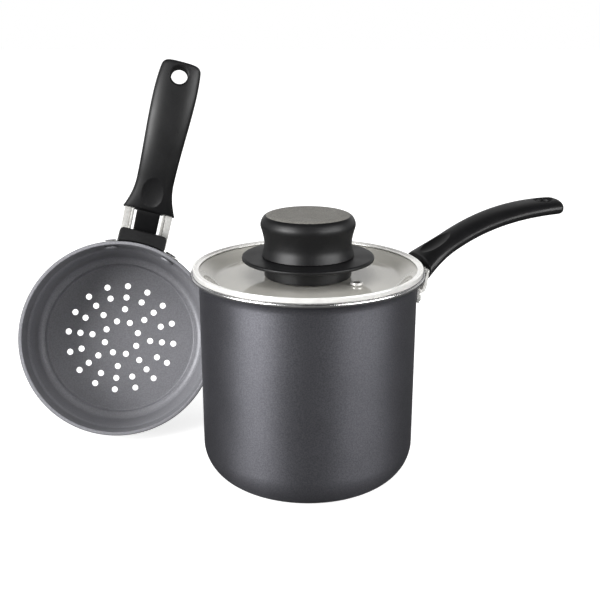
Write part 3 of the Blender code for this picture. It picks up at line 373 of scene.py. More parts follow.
# %% Lathe rings under the pot
RING_SPACING_MM = 1.2
WAVE_PER_METRE = 314.0  # a wave of this scale repeats every millimetre
lathe_base, tree, shader, place = start_finish("turned_aluminium_base",
                                               {"Metallic": 1.0, "Roughness": 0.34})
rings = add_node(tree, "ShaderNodeTexWave",
                 {"wave_type": "RINGS", "rings_direction": "Z", "Distortion": 0.2,
                  "Scale": WAVE_PER_METRE / RING_SPACING_MM}, {"Vector": place}).outputs["Fac"]
tone = add_node(tree, "ShaderNodeMix",
                {"data_type": "RGBA", 6: linear("a9a9aa"), 7: linear("cfcfd0")}, {0: rings})
ridges = add_node(tree, "ShaderNodeBump", {"Strength": 0.6, "Distance": 0.03 * MM}, {"Height": rings})
tree.links.new(tone.outputs[2], shader.inputs["Base Color"])
tree.links.new(ridges.outputs[0], shader.inputs["Normal"])
print("base:", lathe_base.name)

# %% [markdown]
# ### Glass and silicone
#
# The lid is tempered glass, 3 mm thick, with both faces modelled. In the photograph it shows an even
# pale grey, because it mirrors a bright studio. That reflection is painted in: a little over half of the
# light goes through, and the rest is a pale warm grey colour, a painted reflection. The tempering leaves a
# hardly visible waviness. The seals are black silicone, matt and a little dusty.

# %% Tempered glass and silicone
# The glass's pale grey base colour is a painted reflection of the bright studio.
lid_glass_painted_reflection, tree, shader, place = start_finish(
    "tempered_glass_painted_reflection", {"Transmission Weight": 0.55, "IOR": 1.52, "Roughness": 0.06,
                             "Specular IOR Level": 0.3, "Base Color": linear("c4c2bb")})
WAVE_MM = 18.0
waves = add_node(tree, "ShaderNodeTexNoise", {"Scale": NOISE_PER_METRE / WAVE_MM}, {"Vector": place})
ripple = add_node(tree, "ShaderNodeBump", {"Strength": 0.2, "Distance": 0.02 * MM},
                  {"Height": waves.outputs["Fac"]})
tree.links.new(ripple.outputs[0], shader.inputs["Normal"])

black_silicone = worked_finish(
    "moulded_black_silicone", {},
    ("161617", "232324"), mark_mm=1.2, patch_mm=6.0, rough=(0.66, 0.74), dent_mm=0.01)
print("glass and silicone:", lid_glass_painted_reflection.name, black_silicone.name)


# %% Fit a piece onto its body in place of its imported nodes
def fit(piece, body, slot, finishes, *nodes):
    """Give a piece its finishes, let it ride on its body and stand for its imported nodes.

    Clearing the finishes resets each face's number, so the numbers are kept and set again.
    """
    faces = piece.data.polygons
    numbers = np.zeros(len(faces), np.int32)
    faces.foreach_get("material_index", numbers)
    piece.data.materials.clear()
    for finish in finishes:
        piece.data.materials.append(finish)
    faces.foreach_set("material_index", numbers)
    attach(piece, body)
    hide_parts(*nodes)
    print(f"{piece.name}: {len(faces)} faces on {body}, {np.bincount(numbers).tolist()} by finish")


# %% [markdown]
# ## The pot
#
# The pot is drawn from one aluminium disc, so its wall runs without a seam from the base round a large
# corner, up to a mouth that flares outwards. A turned profile is the natural way to make it. The
# profile goes down the inside, round the lip and back along the outside, so the wall has its real
# thickness. The lip is bare metal, the outside graphite, the inside grey.

# %% Sizes of the pot
POT_HEIGHT = 141.0 * MM
POT_WALL_R = 71.0 * MM
POT_FOOT_TAPER = 0.4 * MM
POT_WALL = 2.2 * MM
POT_FLOOR = 4.0 * MM
POT_CORNER_R = 24.0 * MM
POT_FLARE_R = 9.0 * MM
POT_FLARE_TURN = math.radians(75)
GROOVE_R = 38.0 * MM
GROOVE_HALF = 0.8 * MM
GROOVE_DEPTH = 0.6 * MM

# %% Profile of the pot
throat_z = POT_HEIGHT - POT_FLARE_R * math.sin(POT_FLARE_TURN)
flare_centre = (POT_WALL_R - POT_WALL + POT_FLARE_R, throat_z)
lip_angle = math.pi - POT_FLARE_TURN
lip_r = flare_centre[0] + POT_FLARE_R * math.cos(lip_angle)
foot_r = POT_WALL_R - POT_FOOT_TAPER - POT_CORNER_R
inner_corner = POT_CORNER_R - POT_WALL

inside = np.vstack([
    [(0, POT_FLOOR)],
    blend_line((0, POT_FLOOR), (foot_r, POT_FLOOR), 10),
    arc((foot_r, POT_FLOOR + inner_corner), inner_corner, -math.pi / 2, 0, 20),
    blend_line((POT_WALL_R - POT_FOOT_TAPER - POT_WALL, POT_CORNER_R),
               (POT_WALL_R - POT_WALL, throat_z), 20),
    arc(flare_centre, POT_FLARE_R, math.pi, lip_angle, 14),
])
under_flare = arc(flare_centre, POT_FLARE_R - POT_WALL, lip_angle, math.pi, 12)
lip = soften([inside[-1], (lip_r + 0.2 * POT_WALL, POT_HEIGHT),
              (lip_r + 0.4 * POT_WALL, POT_HEIGHT - 0.3 * POT_WALL),
              (lip_r + 0.42 * POT_WALL, POT_HEIGHT - 0.6 * POT_WALL), under_flare[0]], 0.3 * MM)[1:-1]
outside = np.vstack([
    under_flare,
    blend_line((POT_WALL_R, throat_z), (POT_WALL_R - POT_FOOT_TAPER, POT_CORNER_R), 24),
    arc((foot_r, POT_CORNER_R), POT_CORNER_R, 0, -math.pi / 2, 24),
])
groove = soften([(foot_r - 1.5 * MM, 0), (GROOVE_R + GROOVE_HALF, 0),
                 (GROOVE_R + GROOVE_HALF / 2, GROOVE_DEPTH), (GROOVE_R - GROOVE_HALF / 2, GROOVE_DEPTH),
                 (GROOVE_R - GROOVE_HALF, 0), (0, 0)], 0.3 * MM, 4)
pot_profile = np.vstack([inside, lip, outside, groove])
INSIDE, BARE, OUTSIDE, BASE = 0, 1, 2, 3
pot_rows = np.repeat([INSIDE, BARE, OUTSIDE, BASE],
                     [len(inside) - 1, len(lip) + 1, len(outside), len(groove)])
print("pot profile:", len(pot_profile), "points")

# %% Turn the pot
pot_shell = turned("pot_shell", pot_profile, 192, finish_of_row=pot_rows)
fit(pot_shell, "pot", "outside_coating",
    [grey_coating, bare_aluminium, graphite_coating, lathe_base], "pot_body")

# %% [markdown]
# ## The basket
#
# The basket is drawn like the pot but shallower. A shoulder in its wall rests on the pot's flare, a
# round bead stiffens its rim, and its floor is sunk a little below a ledge, which shows as the bright
# ring inside. The steam holes are punched, so they are cut with one tool of many small cylinders.

# %% Sizes of the basket
BASKET_HEIGHT = 55.0 * MM
BASKET_RIM_R = 70.6 * MM
BASKET_BEAD = 2.6 * MM
BASKET_WALL_R = 69.8 * MM
BASKET_WALL = 1.8 * MM
BASKET_SHOULDER_DROP = 28.0 * MM
BASKET_SHOULDER_LENGTH = 3.0 * MM
BASKET_FOOT_TAPER = 3.4 * MM
BASKET_CORNER_R = 7.0 * MM
BASKET_STEP_R = 58.6 * MM
BASKET_STEP_HEIGHT = 3.8 * MM
SEAT_GAP = 0.7 * MM

# %% Profile of the basket
shoulder_z = BASKET_HEIGHT - BASKET_SHOULDER_DROP
lower_top_r = POT_WALL_R - POT_WALL - SEAT_GAP
lower_top_z = shoulder_z - BASKET_SHOULDER_LENGTH
corner_r = lower_top_r - BASKET_FOOT_TAPER - BASKET_CORNER_R
corner_centre = (corner_r, BASKET_STEP_HEIGHT + BASKET_CORNER_R)
wall_in = BASKET_WALL_R - BASKET_WALL

basket_inside = np.vstack([
    [(0, BASKET_WALL)],
    blend_line((0, BASKET_WALL), (BASKET_STEP_R - 4 * MM, BASKET_WALL), 12),
    soften([(BASKET_STEP_R - 4 * MM, BASKET_WALL), (BASKET_STEP_R - BASKET_WALL - 0.6 * MM, BASKET_WALL),
            (BASKET_STEP_R - BASKET_WALL + 0.5 * MM, BASKET_STEP_HEIGHT + BASKET_WALL),
            (corner_r, BASKET_STEP_HEIGHT + BASKET_WALL)], 0.9 * MM, 8),
    arc(corner_centre, BASKET_CORNER_R - BASKET_WALL, -math.pi / 2, 0, 14)[1:],
    soften([(lower_top_r - BASKET_FOOT_TAPER - BASKET_WALL, corner_centre[1] + 0.5 * MM),
            (lower_top_r - BASKET_WALL, lower_top_z + 0.4 * MM),
            (wall_in, shoulder_z + 0.4 * MM),
            (wall_in, BASKET_HEIGHT - 1.2 * MM)], 2.2 * MM, 8),
    soften([(wall_in, BASKET_HEIGHT - 1.2 * MM), (wall_in + 0.1 * MM, BASKET_HEIGHT),
            (BASKET_WALL_R + 0.1 * BASKET_WALL, BASKET_HEIGHT)], 0.8 * MM, 7)[1:],
])
basket_outside = np.vstack([
    soften([(BASKET_WALL_R + 0.1 * BASKET_WALL, BASKET_HEIGHT),
            (BASKET_RIM_R, BASKET_HEIGHT - 0.25 * BASKET_BEAD),
            (BASKET_RIM_R, BASKET_HEIGHT - 0.75 * BASKET_BEAD),
            (BASKET_WALL_R, BASKET_HEIGHT - BASKET_BEAD),
            (BASKET_WALL_R, shoulder_z + 6 * MM)], 0.6 * MM, 6)[1:],
    soften([(BASKET_WALL_R, shoulder_z + 5 * MM), (BASKET_WALL_R, shoulder_z),
            (lower_top_r, lower_top_z), (lower_top_r - 0.5 * MM, lower_top_z - 3 * MM)], 1.5 * MM, 6),
    arc(corner_centre, BASKET_CORNER_R, 0, -math.pi / 2, 14),
    soften([(corner_r, BASKET_STEP_HEIGHT), (BASKET_STEP_R + 0.4 * MM, BASKET_STEP_HEIGHT),
            (BASKET_STEP_R - 0.4 * MM, 0), (BASKET_STEP_R - 3 * MM, 0)], 0.8 * MM, 7)[1:],
    [(0, 0)],
])
basket_profile = np.vstack([basket_inside, basket_outside])
basket_rows = np.repeat([0, 1], [len(basket_inside), len(basket_outside)])
basket_shell = turned("basket_shell", basket_profile, 192, finish_of_row=basket_rows)

# %% [markdown]
# The holes lie on four rings. Each is drawn with a slightly wider mouth on the punch's side, because a
# punch pulls the edge in. The tool is one mesh: every hole is the same small turned grid, moved.

# %% Punch the steam holes
HOLE_R = 2.35 * MM
HOLE_MOUTH_EXTRA, HOLE_MOUTH_DEPTH = 0.35 * MM, 0.4 * MM
HOLE_SIDES = 24
HOLE_RINGS = (  # radius in mm, number of holes, angle of the first hole in degrees
    (13.1, 8, -16.3), (22.3, 8, 6.3), (31.5, 16, 6.3), (40.4, 16, 6.3))

ring_mm, count, first = (np.array(column) for column in zip(*HOLE_RINGS))
turn = np.concatenate([math.radians(f) + np.arange(c) * math.tau / c for c, f in zip(count, first)])
far = np.repeat(ring_mm, count) * MM
holes = np.stack([far * np.cos(turn), far * np.sin(turn), np.zeros(len(turn))], axis=1)
mouth_r = HOLE_R + HOLE_MOUTH_EXTRA
one = turned_grid([(HOLE_R, -3 * MM), (HOLE_R, BASKET_WALL - HOLE_MOUTH_DEPTH),
                   (mouth_r, BASKET_WALL), (mouth_r, 4 * MM)], HOLE_SIDES)
index = np.arange(len(one) * HOLE_SIDES).reshape(-1, HOLE_SIDES)
shift = (np.arange(len(holes)) * index.size)[:, None, None]
walls = quads_of(np.hstack([index, index[:, :1]]))
punch_faces = (walls + shift).reshape(-1, 4).tolist()
punch_faces += (index[[0, -1]] + shift).reshape(-1, HOLE_SIDES).tolist()
punch = new_piece("punch", (one + holes[:, None, None]).reshape(-1, 3), punch_faces)
combine(basket_shell, punch, "DIFFERENCE")
print(len(holes), "steam holes")

# %% [markdown]
# The basket stands behind the pot on its lowest edge. Its axis points at the viewer and a little up
# and to the right, and its handle leans right. One matrix holds that pose, and a second one sits at
# the handle's root, level with the rim, where +X runs along the handle.

# %% Stand the basket behind the pot
BASKET_TILT = math.radians(18.7)
BASKET_TURN = math.radians(8.3)
BASKET_LEAN = math.radians(15.8)
BASKET_BASE = np.array([-144.5205, 105.5509, 57.8219]) * MM

axis = np.array([math.sin(BASKET_TURN) * math.cos(BASKET_TILT),
                 -math.cos(BASKET_TURN) * math.cos(BASKET_TILT), math.sin(BASKET_TILT)])
across = np.cross((0, 0, 1), axis)
across /= np.linalg.norm(across)
upward = np.cross(axis, across)
along = upward * math.cos(BASKET_LEAN) + across * math.sin(BASKET_LEAN)
turn_matrix = np.eye(4)
turn_matrix[:3, :3] = np.stack([along, np.cross(axis, along), axis], axis=1)
turn_matrix[:3, 3] = BASKET_BASE
basket_stand = Matrix(turn_matrix.tolist())
basket_rim = basket_stand @ Matrix.Translation((0, 0, BASKET_HEIGHT))
POT_HANDLE_TURN = math.radians(18.4)
POT_HANDLE_DROP = 3.5 * MM
pot_rim = (Matrix.Translation((0, 0, POT_HEIGHT - POT_HANDLE_DROP))
           @ Matrix.Rotation(POT_HANDLE_TURN, 4, "Z"))

moved(basket_shell, basket_stand)
fit(basket_shell, "basket", "inside_coating", [grey_coating, graphite_coating], "basket_body")

# %% [markdown]
# ## The handles
#
# Both vessels carry the same moulding: a grip that flares at its face to hide the bracket, narrows to
# a neck for the fingers, swells for the palm and ends square. Its mid-line is one Bezier curve, and its
# width and thickness are functions of the distance from the face, so the grip is a grid of distance by
# angle. The section is a soft oval, between an ellipse and a rectangle.

# %% Sizes of the grip
GAP = 0.3 * MM  # between pieces that touch on the real product
GRIP_LENGTH = 103.5 * MM
GRIP_RISE = 34.9 * MM
NECK_HALF, BELLY_HALF, END_HALF = 13.2 * MM, 15.0 * MM, 13.4 * MM
NECK_AT, BELLY_AT = 22.0 * MM, 80.0 * MM
FLARE_EXTRA = 6.0 * MM
FACE_THICK, NECK_THICK, END_THICK = 12.6 * MM, 10.2 * MM, 10.4 * MM
CORNER_R, EDGE_R, FACE_EDGE_R = 4.0 * MM, 1.8 * MM, 0.7 * MM
ROUNDNESS = 2.35
MID_LINE_STEPS = 400
POT_REACH = 79.0 * MM
BASKET_REACH = 94.6 * MM


def grip_line(reach):
    """The mid-line as a table of level distance from the face, height and slope."""
    t = np.linspace(0, 1, MID_LINE_STEPS)[:, None]
    share = np.array([(0, 0), (0.249, 0.57), (0.523, 1), (1, 1)])
    face, first, second, end = np.array([reach, 0]) + share * np.array([GRIP_LENGTH, GRIP_RISE])
    curve = ((1 - t) ** 3 * face + 3 * t * (1 - t) ** 2 * first
             + 3 * t * t * (1 - t) * second + t ** 3 * end)
    slope = np.arctan2(np.gradient(curve[:, 1]), np.gradient(curve[:, 0]))
    return curve[:, 0] - reach, curve[:, 1], slope


def grip_at(reach, distance):
    """Height and slope of the mid-line at some distances from the face."""
    table, height, slope = grip_line(reach)
    return np.interp(distance, table, height), np.interp(distance, table, slope)


def smooth_step(value):
    """3v² - 2v³, a smooth rise from 0 to 1."""
    value = np.clip(value, 0, 1)
    return value * value * (3 - 2 * value)


def round_off(left, radius):
    """How far a quarter circle of that radius has drawn a surface in, at a distance from its end."""
    left = np.clip(left, 0, radius)
    return radius - np.sqrt(radius ** 2 - (radius - left) ** 2)


def grip_half_width(distance):
    """Neck to belly by a smooth step, then slightly in again, plus the flare at the face."""
    width = NECK_HALF + (BELLY_HALF - NECK_HALF) * smooth_step((distance - NECK_AT)
                                                               / (BELLY_AT - NECK_AT))
    past = np.maximum(distance - BELLY_AT, 0) / (GRIP_LENGTH - BELLY_AT)
    width -= (BELLY_HALF - END_HALF) * past ** 2
    width += FLARE_EXTRA * np.maximum(1 - distance / NECK_AT, 0) ** 2.1
    return width - round_off(GRIP_LENGTH - distance, CORNER_R) - round_off(distance, FACE_EDGE_R)


def grip_half_thickness(distance):
    """Face to neck by a smooth step, then evenly to the end."""
    thick = FACE_THICK + (NECK_THICK - FACE_THICK) * smooth_step(distance / NECK_AT)
    thick += ((END_THICK - NECK_THICK) * np.maximum(distance - NECK_AT, 0)
              / (GRIP_LENGTH - NECK_AT))
    return (thick / 2 - round_off(GRIP_LENGTH - distance, EDGE_R)
            - round_off(distance, FACE_EDGE_R))


def oval(half_width, half_height, power, angle):
    """|x/w|^p + |y/h|^p = 1, walked by angle."""
    cosine, sine = np.cos(angle), np.sin(angle)
    x = half_width * np.sign(cosine) * np.abs(cosine) ** (2 / power)
    y = half_height * np.sign(sine) * np.abs(sine) ** (2 / power)
    return x, y


# %% [markdown]
# The mould closes along the grip's sides and leaves a parting line, a ridge about two tenths of a
# millimetre high. It is part of the formula: a narrow bump in the angle at each side. The thumb rest
# and the ring round the hang hole are scooped with tools, because their edges are crisp.

# %% Mould the body of a grip
PARTING_HEIGHT, PARTING_ANGLE = 0.18 * MM, 0.018
PARTING_FADE_IN, PARTING_FADE_OUT = 6 * MM, 8 * MM
PARTING_COLUMNS = np.array([-0.05, -0.025, -0.012, 0.012, 0.025, 0.05])
FACE_ROWS, BODY_ROWS, END_ROWS, GRIP_COLUMNS = 6, 90, 12, 96


def grip_body(name, reach):
    """Grid of distance by angle.

    Rows lie closer at the rounded ends, and columns closer at the parting line on each side.
    """
    face_rows = FACE_EDGE_R * (1 - np.cos(np.linspace(0, math.pi / 2, FACE_ROWS)))
    end_rows = GRIP_LENGTH - CORNER_R * (1 - np.sin(np.linspace(0, math.pi / 2, END_ROWS)))
    body_rows = np.linspace(FACE_EDGE_R, GRIP_LENGTH - CORNER_R, BODY_ROWS)[1:-1]
    distance = np.concatenate([face_rows, body_rows, end_rows])[:, None]
    angle = np.concatenate([once_round(GRIP_COLUMNS), PARTING_COLUMNS % math.tau,
                            PARTING_COLUMNS + math.pi])
    angle = np.unique(np.round(angle, 6))[None, :]
    height, slope = grip_at(reach, distance)
    ridge = np.exp(-(np.sin(angle) / PARTING_ANGLE) ** 2) * PARTING_HEIGHT
    ridge = (ridge * smooth_step(distance / PARTING_FADE_IN)
             * smooth_step((GRIP_LENGTH - distance) / PARTING_FADE_OUT))
    half_height = grip_half_thickness(distance) / np.cos(slope)
    y, z = oval(grip_half_width(distance), half_height, ROUNDNESS, angle)
    return skin(name, grid_of(reach + distance, y + np.sign(y) * ridge, height + z), caps=True)


# %% Cut the thumb rest, the hang hole and the screw's bore
THUMB_HALF_LENGTH, THUMB_HALF_WIDTH, THUMB_DEPTH = 11.5 * MM, 8.8 * MM, 1.3 * MM
THUMB_BULGE = 4.0 * MM
THUMB_AT = 16.5 * MM
HANG_R, HANG_RECESS_R, HANG_RECESS_DEPTH = 5.8 * MM, 7.6 * MM, 1.2 * MM
HANG_AT = GRIP_LENGTH - 9.8 * MM
SCREW_AT = 13.0 * MM
SCREW_SUNK, SCREW_HEAD_HEIGHT, SCREW_HEAD_R, SCREW_SHANK_R = 1.2 * MM, 1.8 * MM, 3.5 * MM, 1.9 * MM
SCREW_REACH = 3.0 * MM


def grip_frame(reach, distance):
    """Place on the mid-line: +X along it, +Z square to it."""
    height, slope = grip_at(reach, distance)
    return (Matrix.Translation((reach + distance, 0, float(height)))
            @ Matrix.Rotation(-float(slope), 4, "Y"))


def top_at(distance):
    """Height of the grip's surface over its mid-line."""
    return float(grip_half_thickness(np.array(distance)))


def cut_thumb_rest(grip, reach):
    """Scoop with an ellipsoid that dips THUMB_DEPTH into the top and has the rest's size there."""
    ratio = 1 - THUMB_DEPTH / THUMB_BULGE
    stretch = 1 / math.sqrt(1 - ratio ** 2)
    dome = arc((0, 0), 1.0, math.pi / 2, -math.pi / 2, 40)
    dome[[0, -1], 0] = 0
    lift = top_at(THUMB_AT) + THUMB_BULGE - THUMB_DEPTH
    size = Matrix.Diagonal((THUMB_HALF_LENGTH * stretch, THUMB_HALF_WIDTH * stretch, THUMB_BULGE, 1))
    place = grip_frame(reach, THUMB_AT) @ Matrix.Translation((0, 0, lift)) @ size
    combine(grip, moved(turned("thumb_tool", dome, 72), place), "DIFFERENCE")


def cut_holes(grip, reach):
    """The hang hole with its recess goes through, the screw's bore starts from below."""
    top = top_at(HANG_AT)
    recess_low = top - HANG_RECESS_DEPTH
    hang = soften([(0, top + 4 * MM), (HANG_RECESS_R + 3 * MM, top + 4 * MM), (HANG_RECESS_R, top),
                   (HANG_R + 0.5 * MM, recess_low), (HANG_R, recess_low - 0.6 * MM),
                   (HANG_R, -12 * MM), (0, -12 * MM)], 0.5 * MM, 5)
    low = -top_at(SCREW_AT)
    head_z = low + SCREW_SUNK + SCREW_HEAD_HEIGHT + GAP
    bore_top, bore_low = SCREW_REACH + GAP, low - 8 * MM
    bore = [(0, bore_top), (SCREW_SHANK_R + GAP, bore_top), (SCREW_SHANK_R + GAP, head_z),
            (SCREW_HEAD_R + GAP, head_z), (SCREW_HEAD_R + GAP, bore_low), (0, bore_low)]
    for name, profile, steps, at in (("hang_tool", hang, 64, HANG_AT), ("bore_tool", bore, 48, SCREW_AT)):
        combine(grip, moved(turned(name, profile, steps), grip_frame(reach, at)), "DIFFERENCE")


# %% Make both grips
for vessel, rim, reach in (("pot", pot_rim, POT_REACH), ("basket", basket_rim, BASKET_REACH)):
    grip = grip_body(f"{vessel}_grip", reach)
    cut_thumb_rest(grip, reach)
    cut_holes(grip, reach)
    moved(grip, rim)
    fit(grip, vessel, "phenolic", [satin_phenolic], f"{vessel}_handle_grip")

# %% [markdown]
# ### The bracket
#
# One steel pressing holds the grip: a strap bent round the wall, and two arms that run up to the grip's
# face and on inside it. Each arm has a flat band and, along its inner edge, a groove and a rolled bead,
# which show as a dark and a bright line. An arm is its section carried along a curve.

# %% Sizes of the bracket
STRAP_THICKNESS, STRAP_HEIGHT = 1.6 * MM, 9.6 * MM
STRAP_HALF_ANGLE = math.radians(23.8)
RIVET_DROP = 13.2 * MM
RIVET_ANGLE = math.radians(18.2)
ARM_OFFSET, ARM_WIDTH = 14.0 * MM, 7.2 * MM
TANG_OFFSET, TANG_WIDTH, TANG_DRAW, TANG_DEPTH = 8.8 * MM, 5.2 * MM, 9.0 * MM, 17.0 * MM
BRIDGE_HALF_LENGTH, BRIDGE_HALF_THICKNESS = 3.0 * MM, 1.05 * MM
POT_ARM = (6.5 * MM, 3.4 * MM, 2.4 * MM)  # lead out of the strap, tail into the face, sag
ARM_STEPS, TANG_STEPS, STRAP_STEPS, END_STEPS = 28, 14, 14, 12
ARM_SECTION = soften(np.array([  # mm from the arm's middle: flat band, groove and bead, then the back
    (3.6, 1.1), (-0.9, 1.1), (-1.15, 0.35), (-1.75, 0.35), (-1.95, 1.2), (-2.7, 1.55), (-3.6, 1.1),
    (-3.6, -1.1), (3.6, -1.1)]) * MM, 0.35 * MM, 5, ring=True)


# %% Sweep an arm
def arm_path(wall_r, reach, arm):
    """Stations of an arm: distance out, height, slope, sideways offset and width."""
    lead, tail, sag = arm
    face_rise = float(grip_at(reach, 0.0)[0])
    root = wall_r + GAP + STRAP_THICKNESS / 2
    control = np.array([(root, -RIVET_DROP), (root + lead, -RIVET_DROP - 0.5 * MM),
                        (reach - tail, face_rise - sag), (reach, face_rise)])
    t = np.linspace(0, 1, ARM_STEPS, endpoint=False)
    weight = np.stack([(1 - t) ** 3, 3 * t * (1 - t) ** 2, 3 * t * t * (1 - t), t ** 3], axis=1)
    curve = weight @ control
    slope = np.arctan2(np.gradient(curve[:, 1]), np.gradient(curve[:, 0]))
    inner = np.linspace(0, TANG_DEPTH, TANG_STEPS)
    inner_rise, inner_slope = grip_at(reach, inner)
    draw = np.concatenate([np.zeros(ARM_STEPS), np.minimum(inner / TANG_DRAW, 1)])
    offset = ARM_OFFSET + (TANG_OFFSET - ARM_OFFSET) * draw
    width = ARM_WIDTH + (TANG_WIDTH - ARM_WIDTH) * smooth_step(draw)
    return (np.concatenate([curve[:, 0], reach + inner]), np.concatenate([curve[:, 1], inner_rise]),
            np.concatenate([slope, inner_slope]), offset, width)


def make_arm(name, side, path):
    """Carry the section along the path. Its outer edge points away from the handle's middle."""
    out, rise, slope, offset, width = (column[:, None] for column in path)
    sideways, high = ARM_SECTION[:, 0] * width / ARM_WIDTH, ARM_SECTION[:, 1]
    grid = grid_of(out - high * np.sin(slope), side * (offset + sideways), rise + high * np.cos(slope))
    return skin(name, grid, caps=True)


# %% Bend the strap
def make_strap(name, wall_r):
    """A band with round ends, bent to the wall: angle along it, soft rectangle across it."""
    middle = wall_r + GAP + STRAP_THICKNESS / 2
    half = STRAP_HEIGHT / 2
    flat = STRAP_HALF_ANGLE - half / middle
    end = np.linspace(0, 1.5, END_STEPS)[1:]
    half_angle = np.concatenate([np.linspace(0, flat, STRAP_STEPS), flat + np.sin(end) * half / middle])
    half_height = np.concatenate([np.full(STRAP_STEPS, half), half * np.cos(end)])
    turn = np.concatenate([-half_angle[:0:-1], half_angle])[:, None]
    tall = np.concatenate([half_height[:0:-1], half_height])[:, None]
    thick, up = oval(STRAP_THICKNESS / 2, 1.0, power=9.0, angle=once_round(56))
    radius = middle + thick
    grid = grid_of(radius * np.cos(turn), radius * np.sin(turn), up * tall - RIVET_DROP)
    return skin(name, grid, caps=True)


# %% Weld strap, arms and bridge
def make_bracket(name, wall_r, reach, arm):
    """Strap, two arms and the bridge between them, welded into one pressing."""
    bracket = make_strap(name, wall_r)
    path = arm_path(wall_r, reach, arm)
    for side in (-1, 1):
        combine(bracket, make_arm("arm_tool", side, path), "UNION")
    x, z = oval(BRIDGE_HALF_LENGTH, BRIDGE_HALF_THICKNESS, power=8.0, angle=once_round(40))
    y = np.linspace(-TANG_OFFSET, TANG_OFFSET, 6)[:, None]
    bridge = skin("bridge_tool", grid_of(x, y, z), caps=True)
    return combine(bracket, moved(bridge, grip_frame(reach, SCREW_AT)), "UNION")


# %% Make both brackets
basket_slope = math.tan(float(grip_at(BASKET_REACH, 0.0)[1]))
BASKET_ARM = (10.0 * MM, 6.6 * MM, 6.6 * MM * basket_slope)
for vessel, rim, wall_r, reach, arm in (
        ("pot", pot_rim, POT_WALL_R, POT_REACH, POT_ARM),
        ("basket", basket_rim, BASKET_WALL_R, BASKET_REACH, BASKET_ARM)):
    bracket = moved(make_bracket(f"{vessel}_bracket", wall_r, reach, arm), rim)
    fit(bracket, vessel, "stainless_steel", [tumbled_steel], f"{vessel}_handle_bracket")

# %% [markdown]
# ### Rivets and screws
#
# Two rivets go through the wall and the strap. Inside the vessel they end in a low dome, outside in a
# flat upset head. On the basket they were riveted before spraying, so they are grey too. The grip is
# held by one screw from below, with a cross slot.

# %% Turn a rivet
RIVET_SHANK_R, RIVET_HEAD_R, RIVET_HEAD_HEIGHT = 2.4 * MM, 5.3 * MM, 1.9 * MM
RIVET_TAIL_R, RIVET_TAIL_HEIGHT, RIVET_HEAD_GAP = 4.2 * MM, 0.8 * MM, 0.5 * MM


def make_rivet(name, wall_r, wall, side):
    """Dome inside, shank through the wall and the strap, flat head outside. +Z points outwards."""
    inner_r = wall_r - wall
    head_z = inner_r * math.cos(RIVET_HEAD_R / inner_r) - RIVET_HEAD_GAP - wall_r
    tail_z = 2 * GAP + STRAP_THICKNESS
    dome_angle = np.linspace(0.12, math.pi / 2, 14)
    dome = np.stack([RIVET_HEAD_R * np.cos(dome_angle), head_z - 0.25 * RIVET_HEAD_HEIGHT
                     - 0.75 * RIVET_HEAD_HEIGHT * np.sin(dome_angle)], axis=1)
    dome[-1, 0] = 0
    tail = soften([(0, tail_z + RIVET_TAIL_HEIGHT), (RIVET_TAIL_R - 0.3 * MM, tail_z + RIVET_TAIL_HEIGHT),
                   (RIVET_TAIL_R, tail_z + RIVET_TAIL_HEIGHT - 0.3 * MM), (RIVET_TAIL_R, tail_z),
                   (RIVET_SHANK_R, tail_z), (RIVET_SHANK_R, head_z)], 0.35 * MM, 5)
    rivet = turned(name, np.vstack([tail, [(RIVET_HEAD_R, head_z)], dome]), 48)
    place = (Matrix.Rotation(side * RIVET_ANGLE, 4, "Z") @ Matrix.Translation((wall_r, 0, -RIVET_DROP))
             @ Matrix.Rotation(math.pi / 2, 4, "Y"))
    return moved(rivet, place)


# %% Turn the grip's screw and slot it
def box_tool(name, size):
    """A plain box round the origin."""
    x, y = np.array([(-1, 1, 1, -1), (-1, -1, 1, 1)]) * np.array(size[:2])[:, None] / 2
    return skin(name, grid_of(x, y, np.array([(-1,), (1,)]) * size[2] / 2), caps=True)


def make_grip_screw(name, reach):
    """Pan head with rounded edge, plain shank and a cross slot."""
    low = SCREW_SUNK - top_at(SCREW_AT)
    head_z = low + SCREW_HEAD_HEIGHT
    profile = soften([(0, SCREW_REACH), (SCREW_SHANK_R, SCREW_REACH), (SCREW_SHANK_R, head_z),
                      (SCREW_HEAD_R, head_z), (SCREW_HEAD_R, low + 0.9 * MM),
                      (SCREW_HEAD_R - 1.0 * MM, low), (0, low)], 0.5 * MM, 5)
    screw = turned(name, profile, 40)
    for k in range(2):
        slot = box_tool("slot_tool", (1.0 * MM, 4.0 * MM, 2.0 * MM))
        moved(slot, Matrix.Translation((0, 0, low)) @ Matrix.Rotation(k * math.pi / 2, 4, "Z"))
        combine(screw, slot, "DIFFERENCE")
    return moved(screw, grip_frame(reach, SCREW_AT))


# %% Place the rivets and the screws
for vessel, rim, wall_r, wall, reach, slot, finish in (
        ("pot", pot_rim, POT_WALL_R, POT_WALL, POT_REACH, "stainless_steel", polished_steel),
        ("basket", basket_rim, BASKET_WALL_R, BASKET_WALL, BASKET_REACH, "coated_rivet", grey_coating)):
    for word, side_of in (("right", -1), ("left", 1)):
        rivet = moved(make_rivet(f"{vessel}_rivet_{word}", wall_r, wall, side_of), rim)
        fit(rivet, vessel, slot, [finish], f"{vessel}_handle_rivet_{word}")
    screw = moved(make_grip_screw(f"{vessel}_grip_screw", reach), rim)
    fit(screw, vessel, "stainless_steel", [tumbled_steel], f"{vessel}_handle_screw")

# %% [markdown]
# ### The heat guards
#
# A phenolic block keeps the flame off the bracket's root. On the pot it is a small block between the
# arms. On the basket it is wider, covers the arms' roots, and sends a tongue up to the grip. Each block
# is its outline, seen along the handle's up direction, drawn in a little at its top and bottom edge.

